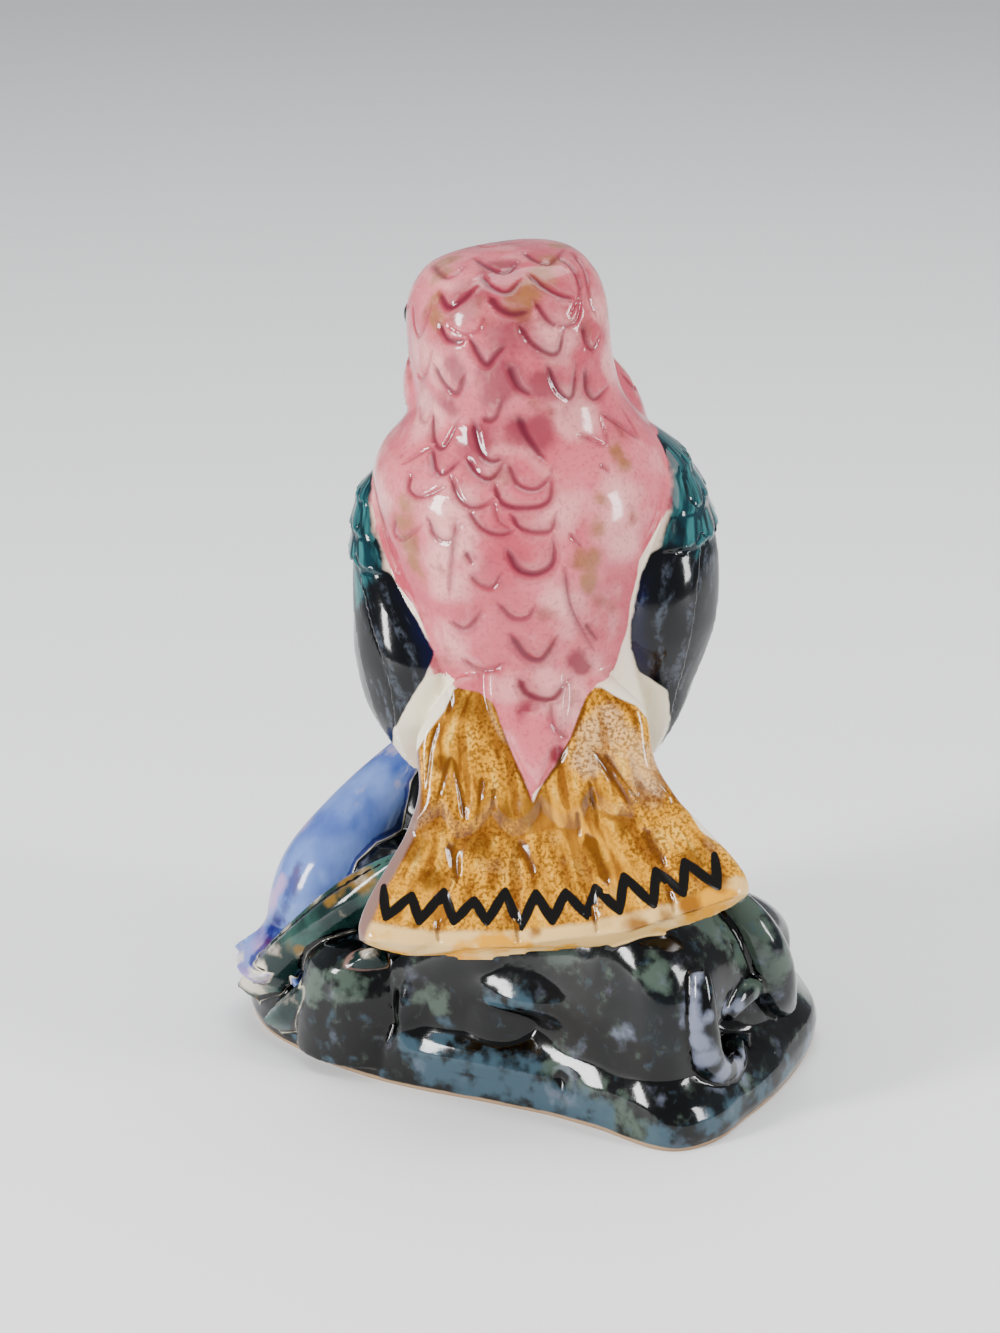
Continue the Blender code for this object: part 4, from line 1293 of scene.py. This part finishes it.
# How hollow the skin is at each point, in hundredths of a millimetre: ridges are below zero
def hollowField(mesh, places, rounds):
    edges = np.empty(len(mesh.edges) * 2, dtype=np.int64)
    mesh.edges.foreach_get("vertices", edges)
    edges = edges.reshape(-1, 2)
    ends = np.bincount(edges.ravel(), minlength=len(places))[:, None]
    soft = places.copy()
    for _ in range(rounds):
        total = np.zeros_like(soft)
        for axis in range(3):
            total[:, axis] = np.bincount(edges[:, 0], soft[edges[:, 1], axis], len(places))
            total[:, axis] += np.bincount(edges[:, 1], soft[edges[:, 0], axis], len(places))
        soft = 0.5 * soft + 0.5 * total / ends
    normals = np.empty(len(places) * 3)
    mesh.vertices.foreach_get("normal", normals)
    return np.sum((soft - places) * normals.reshape(-1, 3), axis=1) * 1e5


# Distance to the nearest stroke as a share of half its width, and that stroke's kind
def strokeFields(places, groups):
    tree = KDTree(sum(len(group) for group in groups))
    widths, kinds = [], []
    for kind, group in enumerate(groups):
        for place, halfWidth in group:
            tree.insert(place, len(widths))
            widths.append(halfWidth)
            kinds.append(kind)
    tree.balance()
    ratio = np.empty(len(places))
    kindHere = np.empty(len(places))
    for k, place in enumerate(places):
        index, gap = tree.find(place)[1:]
        ratio[k] = min(gap / max(widths[index], plumage["thinnest"]), plumage["farthest"])
        kindHere[k] = kinds[index]
    return ratio, kindHere


# Patches of other glaze, some of them painted highlights: a pixel of the photograph and a radius in
# millimetres for each dab
patches = {
    "ochre": (
        (445, 262, 2.0), (441, 276, 1.7), (436, 296, 1.5), (556, 246, 1.5), (549, 260, 1.8),
        (541, 276, 1.8), (530, 290, 1.8), (519, 303, 1.6), (404, 505, 1.7), (403, 522, 2.0),
        (406, 542, 1.8), (411, 562, 1.8), (419, 578, 1.4), (618, 452, 1.4), (626, 463, 1.6),
        (600, 500, 1.4), (598, 530, 1.7), (592, 560, 1.9), (588, 580, 1.4), (436, 318, 1.3),
    ),
    "mauve": (
        (450, 405, 2.2), (496, 392, 2.4), (545, 385, 2.0), (487, 375, 1.6), (518, 424, 2.2),
        (455, 372, 1.8), (505, 330, 3.0), (472, 300, 2.4), (500, 268, 2.4), (540, 425, 2.2),
        (480, 430, 2.4), (505, 380, 2.6),
    ),
    # Pale rose dabs: partly a paler glaze, partly painted highlights on the back and on the mantle's right
    # side
    "paleRoseAndHighlight": (
        (425, 420, 3.0), (416, 350, 2.4), (560, 335, 2.6), (575, 410, 3.4), (612, 492, 3.0),
        (618, 520, 3.2), (622, 545, 2.4), (455, 540, 3.0), (448, 580, 2.8), (448, 640, 2.6),
        (562, 600, 2.6), (505, 690, 2.4), (570, 700, 2.6), (610, 360, 2.2), (384, 500, 2.4),
    ),
    "plum": ((579, 661, 1.5), (582, 668, 1.3), (526, 713, 1.5), (557, 755, 1.2)),
    # Pale gold dabs: partly a washed glaze, partly a painted highlight on the tail's upper right
    "paleTailAndHighlight": (
        (600, 730, 2.6), (620, 745, 3.4), (640, 765, 3.4), (648, 785, 2.4), (590, 760, 2.2),
        (607, 712, 2.0),
    ),
    "umber": (
        (453, 692, 2.0), (470, 702, 2.6), (487, 706, 1.8), (604, 690, 1.8), (617, 698, 1.6),
        (533, 804, 2.4), (530, 820, 1.6), (500, 815, 2.2), (655, 735, 1.4), (480, 840, 2.2),
        (536, 932, 1.2), (415, 925, 0.9), (640, 925, 2.2), (665, 918, 2.2), (690, 908, 2.0),
        (590, 800, 1.6), (625, 820, 1.8), (440, 760, 1.4), (418, 800, 1.6), (412, 850, 2.0),
        (430, 880, 1.8), (690, 860, 2.0), (718, 880, 1.8), (672, 890, 1.6),
    ),
    # Blue dabs: blue-green glaze on the lip, and painted highlights on the lip's edge and on the ledge
    # above it
    "blueWashAndHighlight": (
        (410, 1052, 1.5), (430, 1064, 2.3), (455, 1072, 2.6), (485, 1078, 2.8), (515, 1085, 2.6),
        (545, 1097, 2.4), (575, 1108, 2.2), (600, 1118, 2.0), (660, 1146, 2.0), (682, 1150, 1.6),
        (712, 1128, 1.6), (735, 1112, 1.8), (762, 1094, 1.8), (787, 1074, 1.8), (806, 1050, 1.6),
        (330, 1052, 1.2), (296, 1030, 1.4), (440, 1035, 1.6), (470, 1030, 1.2), (520, 1000, 1.4),
        (495, 1004, 1.2),
    ),
    "greenWash": (
        (742, 905, 2.6), (748, 930, 2.8), (750, 955, 2.4), (757, 980, 1.8), (617, 1115, 2.0),
        (640, 1130, 1.6), (560, 1068, 1.8), (590, 1080, 1.4), (710, 925, 2.4), (775, 970, 2.0),
        (790, 955, 1.6), (345, 985, 1.6), (312, 985, 1.8), (560, 950, 1.8), (435, 1005, 1.6),
        (655, 975, 1.6), (745, 1080, 1.2), (800, 990, 1.6),
    ),
    "lilacWash": (
        (697, 978, 1.0), (692, 992, 1.1), (691, 1008, 1.2), (692, 1024, 1.3), (698, 1042, 1.5),
        (708, 1060, 1.7), (724, 1074, 1.9), (740, 1066, 1.5), (743, 1052, 1.0), (710, 1016, 0.9),
        (725, 1008, 0.9), (738, 1005, 0.8),
    ),
    "navy": (
        (296, 868, 1.2), (293, 880, 1.5), (289, 893, 1.7), (284, 905, 1.8), (278, 917, 1.8),
        (272, 929, 1.6), (268, 940, 1.3),
    ),
    "lilac": (
        (281, 885, 1.7), (273, 900, 2.0), (264, 915, 2.0), (256, 928, 1.7), (277, 855, 1.5),
        (285, 838, 1.5),
    ),
    "petalTip": (
        (259, 972, 1.4), (250, 985, 1.8), (243, 998, 1.8), (240, 975, 1.2), (247, 1008, 1.5),
        (237, 960, 1.0),
    ),
    # Pale flower dabs: partly a paler glaze, partly a painted highlight along the trumpet's ridge
    "paleFlowerAndHighlight": (
        (245, 945, 1.8), (252, 958, 1.8), (322, 876, 1.2),
    ),
    "leafOchre": (
        (362, 880, 1.8), (345, 884, 1.6), (330, 898, 1.1), (262, 1002, 1.2), (256, 1016, 1.2),
        (300, 950, 0.9),
    ),
}


# Soft round dabs, one where it is thickest and below zero outside
def patchField(skinTree, places, rows, spread):
    field = np.zeros(len(places))
    for x, y, radius in rows:
        spot = photoPoint(skinTree, x, y)
        if spot:
            gap = np.linalg.norm(places - np.array(spot), axis=1) * 1000
            field = np.maximum(field, 1 - gap / (radius * spread))
    return field


def writeField(mesh, name, values):
    attribute = mesh.attributes.new(name, "FLOAT", "POINT")
    attribute.data.foreach_set("value", np.asarray(values, dtype=np.float32))


# Writes every field that the glaze reads, one value for each point of the skin
def paintFields(figure, forms, groups):
    mesh = figure.data
    places = np.empty(len(mesh.vertices) * 3)
    mesh.vertices.foreach_get("co", places)
    places = places.reshape(-1, 3)
    spots = [Vector(place) for place in places]
    skinTree = meshTree(mesh)
    nearness = formFields(spots, {name: BVHTree.FromBMesh(form) for name, form in forms.items()})
    fields = {name + "Near": near - paintedAreas["shrink"].get(name, 0) for name, near in nearness.items()}
    fields["mantle"] = mantleField(skinTree, places)
    inside, fields["wingAcross"], fields["wingAlong"], fields["wingFromRear"] = wingFields(places)
    behind = (paintedAreas["flankFront"] - places[:, 1]) * 1000
    for flank in paintedAreas["flanks"]:
        inside = np.minimum(inside, -np.minimum(outlineField(places, flank), behind))
    fields["wingInside"] = inside
    fields["tailAcross"], fields["tailFromEnd"] = tailFields(places)
    facing = (paintedAreas["goldFront"] - places[:, 1]) * 1000
    fields["goldInside"] = np.minimum(outlineField(places, paintedAreas["gold"]), facing)
    fields["hollow"] = hollowField(mesh, places, 14)
    fields["stroke"], fields["strokeKind"] = strokeFields(spots, groups)
    for name, rows in patches.items():
        spread = paintedAreas["dabSpread"].get(name, 1.3)
        fields[name + "Dabs"] = patchField(skinTree, places, rows, spread)
    for name, values in fields.items():
        writeField(mesh, name, values)


# The glazes' colours, as red, green and blue from 0 to 255
glazes = {
    "rose": (202, 98, 108),
    "deepRose": (176, 68, 82),
    # A paler rose glaze, also used for painted highlights
    "paleRoseAndHighlight": (232, 164, 160),
    "maroon": (84, 18, 36),
    "plum": (112, 22, 44),
    "mauve": (128, 46, 60),
    "ochre": (134, 88, 44),
    "cream": (236, 226, 200),
    "blush": (222, 170, 158),
    "softGrey": (150, 140, 140),
    "teal": (6, 42, 50),
    "paleTeal": (44, 98, 100),
    "darkTeal": (2, 16, 22),
    "black": (2, 3, 6),
    # A painted reflection: pale grey on the black quills' ridges
    "quillSheen": (64, 70, 80),
    "deepBlue": (3, 6, 52),
    "paleBlue": (30, 42, 110),
    "gold": (212, 146, 24),
    "darkGold": (126, 74, 10),
    "paleGold": (236, 190, 84),
    "umber": (82, 42, 6),
    # A washed pale gold, also used for a painted highlight on the tail
    "washedGoldAndHighlight": (218, 178, 130),
    "zigzag": (12, 10, 8),
    "tailRim": (222, 182, 112),
    "tailEdge": (120, 92, 84),
    "rockBlack": (2, 2, 2),
    "rockBrown": (14, 9, 5),
    "rockGreen": (70, 84, 74),
    "rockBlue": (52, 74, 86),
    "rockLilac": (112, 118, 136),
    "periwinkle": (36, 60, 136),
    # A paler periwinkle, also used for a painted highlight on the flower
    "paleFlowerAndHighlight": (104, 130, 190),
    "navy": (14, 18, 88),
    "flowerMaroon": (76, 16, 44),
    "lilac": (186, 138, 172),
    "petalTip": (222, 210, 190),
    "leafGreen": (8, 30, 28),
    "paleLeaf": (50, 84, 76),
    "leafOchre": (112, 82, 26),
    "clay": (150, 124, 96),
    "eye": (3, 3, 3),
    "bill": (20, 15, 15),
}


def linear(name):
    shades = []
    for value in glazes[name]:
        share = value / 255
        shades.append(share / 12.92 if share <= 0.04045 else ((share + 0.055) / 1.055) ** 2.4)
    return (*shades, 1)


# Short ways to add the glaze's nodes, each giving the socket that it ends in
class GlazeNodes:
    def __init__(self, tree):
        self.tree = tree
        self.place = self.add("ShaderNodeTexCoord")["Object"]

    def add(self, kind, inputs=(), **settings):
        values = dict(inputs)
        for key, value in values.items():
            if isinstance(value, str):
                values[key] = linear(value)
        return addNode(self.tree, kind, values, **settings)

    def field(self, name):
        return self.add("ShaderNodeAttribute", attribute_name=name)["Fac"]

    def plus(self, first, second):
        return self.add("ShaderNodeMath", {0: first, 1: second}, operation="ADD")["Value"]

    def minus(self, first, second):
        return self.add("ShaderNodeMath", {0: first, 1: second}, operation="SUBTRACT")["Value"]

    def times(self, first, second):
        return self.add("ShaderNodeMath", {0: first, 1: second}, operation="MULTIPLY")["Value"]

    # A smooth rise from low to high, or a fall where low is the higher of the two
    def step(self, value, low, high):
        limits = {"From Min": min(low, high), "From Max": max(low, high)}
        ends = {"To Min": float(low > high), "To Max": float(low <= high)}
        inputs = {"Value": value, **limits, **ends}
        return self.add("ShaderNodeMapRange", inputs, interpolation_type="SMOOTHSTEP")["Result"]

    # The Mix node's colour sockets have no names of their own
    def mix(self, share, first, second):
        return self.add("ShaderNodeMix", {"Factor": share, 6: first, 7: second}, data_type="RGBA")[2]

    def wash(self, shade, colour, share, strength):
        return self.mix(self.times(share, strength), shade, colour)

    def noise(self, scale, detail=3.0, stretch=(1, 1, 1), place=None):
        spread = self.add("ShaderNodeMapping", {"Scale": stretch, "Vector": place or self.place})["Vector"]
        return self.add("ShaderNodeTexNoise", {"Scale": scale, "Detail": detail, "Vector": spread})["Fac"]

    def cloud(self, scale, detail, low, high):
        return self.step(self.noise(scale, detail), low, high)

    def vector(self, x, y):
        return self.add("ShaderNodeCombineXYZ", {"X": x, "Y": y})["Vector"]

    def split(self):
        return self.add("ShaderNodeSeparateXYZ", {"Vector": self.place})


# Lays dabs of another colour over a shade, broken up at their edges
def dabs(make, name, shade, colour, strength=0.85, scale=300):
    ragged = make.times(make.noise(scale, 6), paintedAreas["dabRaggedness"])
    edge = make.plus(make.field(name + "Dabs"), ragged)
    return make.wash(shade, colour, make.step(edge, *paintedAreas["dabEdge"]), strength)


# Rose over the head and the mantle, with paler and deeper washes, dabs of other glazes, and pale dabs that
# are partly painted highlights
def roseGlaze(make):
    shade = make.mix(make.cloud(85, 4, 0.38, 0.62), "deepRose", "rose")
    shade = make.wash(shade, "paleRoseAndHighlight", make.cloud(150, 5, 0.50, 0.74), 0.6)
    # The pale rose dabs are partly painted highlights; mauve, ochre and plum are glaze
    for name, strength, scale in (
        ("paleRoseAndHighlight", 0.55, 160), ("mauve", 0.85, 200), ("ochre", 0.85, 260), ("plum", 0.85, 260),
    ):
        shade = dabs(make, name, shade, name, strength, scale)
    shade = make.wash(shade, "paleRoseAndHighlight", make.step(make.field("hollow"), -6.0, -14.0), 0.30)
    return make.wash(shade, "mauve", make.cloud(2200, 3, 0.50, 0.70), 0.30)


def creamGlaze(make):
    shade = make.wash("cream", "blush", make.cloud(120, 4, 0.52, 0.74), 0.4)
    return make.wash(shade, "blush", make.step(make.field("mantle"), -1.6, -0.1), 0.35)


# Teal shoulders, black quills with a painted pale sheen along their ridges, and deep blue along each wing's
# inner edge
def wingGlaze(make):
    across = make.times(make.field("wingAcross"), float(wing["longFeathers"]))
    along = make.field("wingAlong")
    streaky = make.noise(1.7, 5, place=make.vector(make.times(across, 2.6), make.times(along, 4.0)))
    ridge = make.step(make.field("hollow"), 0.6, -1.8)
    teal = make.mix(make.cloud(230, 4, 0.40, 0.64), "teal", "darkTeal")
    teal = make.wash(teal, "paleTeal", ridge, make.step(streaky, 0.42, 0.62))
    # Painted reflection: the black quills turn pale grey along their ridges, as if lit
    lit = make.times(ridge, make.step(streaky, 0.50, 0.64))
    black = make.wash("black", "quillSheen", make.times(lit, make.cloud(1500, 3, 0.30, 0.62)), 0.75)
    border = make.plus(along, make.times(make.noise(300, 3), 0.10))
    further = make.plus(make.times(make.step(make.split()["X"], 0.0, -0.004), 0.36), 0.10)
    border = make.minus(border, make.times(make.field("wingAcross"), further))
    shade = make.mix(make.step(border, wing["covertEnd"] + 0.02, wing["covertEnd"] + 0.06), teal, black)
    blue = make.wash("deepBlue", "paleBlue", make.step(streaky, 0.52, 0.74), ridge)
    inner = make.plus(make.field("wingFromRear"), make.times(make.noise(240, 3), 1.6))
    wide = make.minus(inner, make.times(along, 1.2))
    return make.wash(shade, blue, make.step(wide, 1.3, -0.3), make.step(along, 0.30, 0.40))


# Golden tail: streaked along its feathers and grained, with pale dabs that are partly a painted highlight,
# a pale rim and a grey edge
def tailGlaze(make):
    across = make.field("tailAcross")
    fromEnd = make.field("tailFromEnd")
    streaks = make.noise(1.3, 5, place=make.vector(make.times(across, 9.0), make.times(fromEnd, 0.16)))
    shade = make.mix(make.step(streaks, 0.32, 0.58), "darkGold", "gold")
    shade = make.wash(shade, "paleGold", make.step(streaks, 0.54, 0.74), 0.7)
    # Pale gold dabs, partly a painted highlight on the tail's upper right
    shade = dabs(make, "paleTailAndHighlight", shade, "washedGoldAndHighlight", 0.6, 220)
    shade = dabs(make, "umber", shade, "umber", 0.75, 220)
    shade = make.wash(shade, "darkGold", make.step(make.field("hollow"), 0.8, 4.0), 0.7)
    grain = make.times(make.cloud(2900, 4, 0.45, 0.60), make.cloud(150, 3, 0.26, 0.56))
    shade = make.wash(shade, "umber", grain, 0.72)
    rim = make.plus(fromEnd, make.noise(260, 3))
    pale = make.mix(make.cloud(170, 4, 0.50, 0.62), "tailRim", "gold")
    shade = make.mix(make.step(rim, 2.4, 1.7), shade, dabs(make, "umber", pale, "darkGold", 0.9, 220))
    left = make.plus(across, make.times(make.noise(200, 3), 0.06))
    return make.mix(make.step(left, -0.94, -0.98), shade, "tailEdge")


def rockGlaze(make):
    hollow = make.field("hollow")
    shade = make.mix(make.cloud(75, 5, 0.50, 0.72), "rockBlack", "rockBrown")
    mist = make.times(make.cloud(620, 6, 0.42, 0.70), make.cloud(62, 4, 0.52, 0.70))
    shade = make.wash(shade, "rockGreen", mist, 0.09)
    ridge = make.times(make.step(hollow, -3.0, -8.0), make.cloud(70, 3, 0.46, 0.62))
    shade = make.wash(shade, "rockBlue", ridge, 0.06)
    shade = dabs(make, "greenWash", shade, "rockGreen", 0.8, 620)
    # Blue dabs: glaze on the lip, and painted highlights on its edge and on the ledge above it
    shade = dabs(make, "blueWashAndHighlight", shade, "rockBlue", 0.9, 560)
    shade = dabs(make, "lilacWash", shade, "rockLilac", 0.9, 300)
    return make.mix(make.step(hollow, 2.5, 7.0), shade, "rockBlack")


def flowerGlaze(make):
    hollow = make.field("hollow")
    shade = make.mix(make.step(make.noise(150, 4, (1, 1, 0.35)), 0.36, 0.70), "periwinkle", "paleFlowerAndHighlight")
    shade = make.wash(shade, "lilac", make.cloud(90, 3, 0.58, 0.72), 0.7)
    # The pale flower dabs are partly a painted highlight along the trumpet's ridge
    for name, strength in (("paleFlowerAndHighlight", 0.8), ("lilac", 0.85), ("petalTip", 0.95)):
        shade = dabs(make, name, shade, name, strength)
    shade = make.wash(shade, "navy", make.step(hollow, 1.5, 5.0), 0.8)
    dark = make.mix(make.cloud(130, 3, 0.42, 0.56), "navy", "flowerMaroon")
    shade = dabs(make, "navy", shade, dark, 1.0)
    return make.wash(shade, "paleFlowerAndHighlight", make.step(hollow, -3.0, -8.0), 0.3)


def leafGlaze(make):
    shade = make.mix(make.cloud(130, 4, 0.44, 0.70), "leafGreen", "paleLeaf")
    shade = make.wash(shade, "leafOchre", make.cloud(70, 3, 0.60, 0.70), 0.7)
    shade = dabs(make, "leafOchre", shade, "leafOchre", 0.85)
    # The same blue dabs where they fall on the leaf: glaze, and painted highlight
    shade = dabs(make, "blueWashAndHighlight", shade, "rockBlue", 0.7)
    shade = dabs(make, "petalTip", shade, "petalTip", 0.8)
    return make.mix(make.step(make.field("hollow"), 0.8, 4.0), shade, "rockBlack")


# Lays one painted area over what is under it, with an edge as uneven as a brush leaves it
def over(make, name, under, shade, wobble):
    uneven = make.times(make.minus(make.noise(paintedAreas["brushScale"], 3), 0.5), wobble * 2)
    inside = make.step(make.plus(make.field(name), uneven), *paintedAreas["brushEdge"])
    return make.mix(inside, under, shade)


# How strongly the strokes of some kinds show, within a share of half their width
def strokeShare(make, kinds, solid, soft, strength):
    low, high = kinds
    kind = make.field("strokeKind")
    here = make.times(make.step(kind, low - 0.5, low - 0.4), make.step(kind, high + 0.5, high + 0.4))
    return make.times(make.times(here, make.step(make.field("stroke"), soft, solid)), strength)


# The glaze's gloss and ripple, and the bare clay below a height
finish = {
    "gloss": {"IOR": 1.37, "Coat Weight": 0.08, "Coat Roughness": 0.03},
    "roughness": 0.07,
    "wear": 0.10,
    "ripple": {"Strength": 0.35, "Distance": 0.00010},
    "clayTop": (0.0008, 0.0006),
    "clayRoughness": 0.6,
}


def glazeMaterial():
    material = bpy.data.materials.new("figurineGlaze")
    material.use_nodes = True
    make = GlazeNodes(material.node_tree)
    shader = material.node_tree.nodes["Principled BSDF"]
    rose = make.mix(strokeShare(make, (0, 1), 0.8, 3.0, 0.40), roseGlaze(make), "mauve")
    rose = make.mix(strokeShare(make, (0, 1), 0.25, 1.0, 0.88), rose, "maroon")
    cream = make.mix(strokeShare(make, (5, 5), 0.3, 1.6, 0.35), creamGlaze(make), "softGrey")
    gold = make.mix(strokeShare(make, (2, 2), 0.4, 1.3, 0.8), tailGlaze(make), "umber")
    gold = make.mix(strokeShare(make, (3, 3), 0.85, 1.12, 1.0), gold, "zigzag")
    shade = cream
    for name, area, wobble in (
        ("mantle", rose, 0.5), ("wingInside", wingGlaze(make), 0.3), ("goldInside", gold, 0.25),
        ("rockNear", rockGlaze(make), 0.25), ("leavesNear", leafGlaze(make), 0.2),
        ("flowerNear", flowerGlaze(make), 0.15), ("billNear", "bill", 0.1), ("eyesNear", "eye", 0.02),
    ):
        shade = over(make, name, shade, area, wobble)
    height = make.plus(make.split()["Z"], make.times(make.noise(180, 3), 0.0006))
    bare = make.step(height, *finish["clayTop"])
    worn = make.plus(make.times(make.noise(600, 4), finish["wear"]), finish["roughness"])
    rough = make.plus(worn, make.times(bare, finish["clayRoughness"]))
    ripple = make.add("ShaderNodeBump", {**finish["ripple"], "Height": make.noise(420, 3)})["Normal"]
    for name, value in (
        ("Base Color", make.mix(bare, shade, "clay")), ("Roughness", rough), ("Normal", ripple),
    ):
        material.node_tree.links.new(value, shader.inputs[name])
    for name, value in finish["gloss"].items():
        shader.inputs[name].default_value = value
    return material


# A pale floor, and two windows' worth of soft light with a fill from above
studio = {
    "floorSize": 3.0,
    "floorShade": (0.88, 0.88, 0.88, 1),
    "floorRoughness": 0.7,
    "air": (0.80, 0.84, 0.90, 1),
    "airStrength": 0.50,
    "lights": (
        ("leftWindow", (-0.42, -0.26, 0.20), (0.09, 0.24), 4.6),
        ("rightWindow", (0.44, -0.20, 0.20), (0.08, 0.24), 2.4),
        ("topLight", (0.05, 0.10, 0.60), (0.50, 0.50), 3.8),
    ),
}


def makeStudio():
    half = studio["floorSize"] / 2
    mesh = bpy.data.meshes.new("floor")
    corners = [(-half, -half, 0), (half, -half, 0), (half, half, 0), (-half, half, 0)]
    mesh.from_pydata(corners, [], [(0, 1, 2, 3)])
    floor = addObject("floor", mesh)
    pale = bpy.data.materials.new("paleFloor")
    pale.use_nodes = True
    shader = pale.node_tree.nodes["Principled BSDF"]
    shader.inputs["Base Color"].default_value = studio["floorShade"]
    shader.inputs["Roughness"].default_value = studio["floorRoughness"]
    mesh.materials.append(pale)
    for name, place, size, power in studio["lights"]:
        data = bpy.data.lights.new(name, "AREA")
        data.shape = "RECTANGLE"
        data.size, data.size_y = size
        data.energy = power
        light = addObject(name, data)
        light.location = place
        aim = Vector(photo["target"]) - Vector(place)
        light.rotation_euler = aim.to_track_quat("-Z", "Y").to_euler()
    world = bpy.data.worlds.new("softAir")
    world.use_nodes = True
    air = world.node_tree.nodes["Background"]
    air.inputs["Color"].default_value = studio["air"]
    air.inputs["Strength"].default_value = studio["airStrength"]
    bpy.context.scene.world = world


makeCamera()
makeStudio()
forms = makeForms()
print("forms made")
figure = fuseForms(forms)
cutFoot(figure)
print("skin fused:", len(figure.data.polygons), "faces")
skinTree = meshTree(figure.data)
headMarks = photoStrokes(skinTree, plumage["head"]) + headStrokes(skinTree)
backMarks = photoStrokes(skinTree, plumage["back"])
quillMarks = photoStrokes(skinTree, plumage["coverts"]) + tailStrokes(skinTree)
zigzagMarks = zigzagPlaces(skinTree)
wingMarks = wingStrokes(skinTree)
breastMarks = breastStrokes(skinTree)
groups = [headMarks, backMarks, quillMarks, zigzagMarks, wingMarks, breastMarks]
glaze = glazeMaterial()
tree = carveTree()
clouds = []
for name, places, share in (
    ("plumageStrokes", headMarks + backMarks + quillMarks, 1.0),
    ("wingStrokes", wingMarks, 0.9),
    ("breastStrokes", breastMarks, 0.35),
    ("zigzagStrokes", zigzagMarks, 0.45),
):
    cloud = markCloud(name, places)
    clouds.append(cloud)
    carve(figure, tree, cloud, plumage["depth"] * share, plumage["lip"] * share, glaze)
settle(figure)
print("strokes carved")
thin(figure)
print("skin thinned:", len(figure.data.polygons), "triangles")
for thing in clouds:
    bpy.data.objects.remove(thing)
paintFields(figure, forms, groups)
figure.data.shade_smooth()
figure.name = "glazedHummingbird"
print("glazes laid")
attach(figure, "root")
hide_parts("hummingbird_figurine")
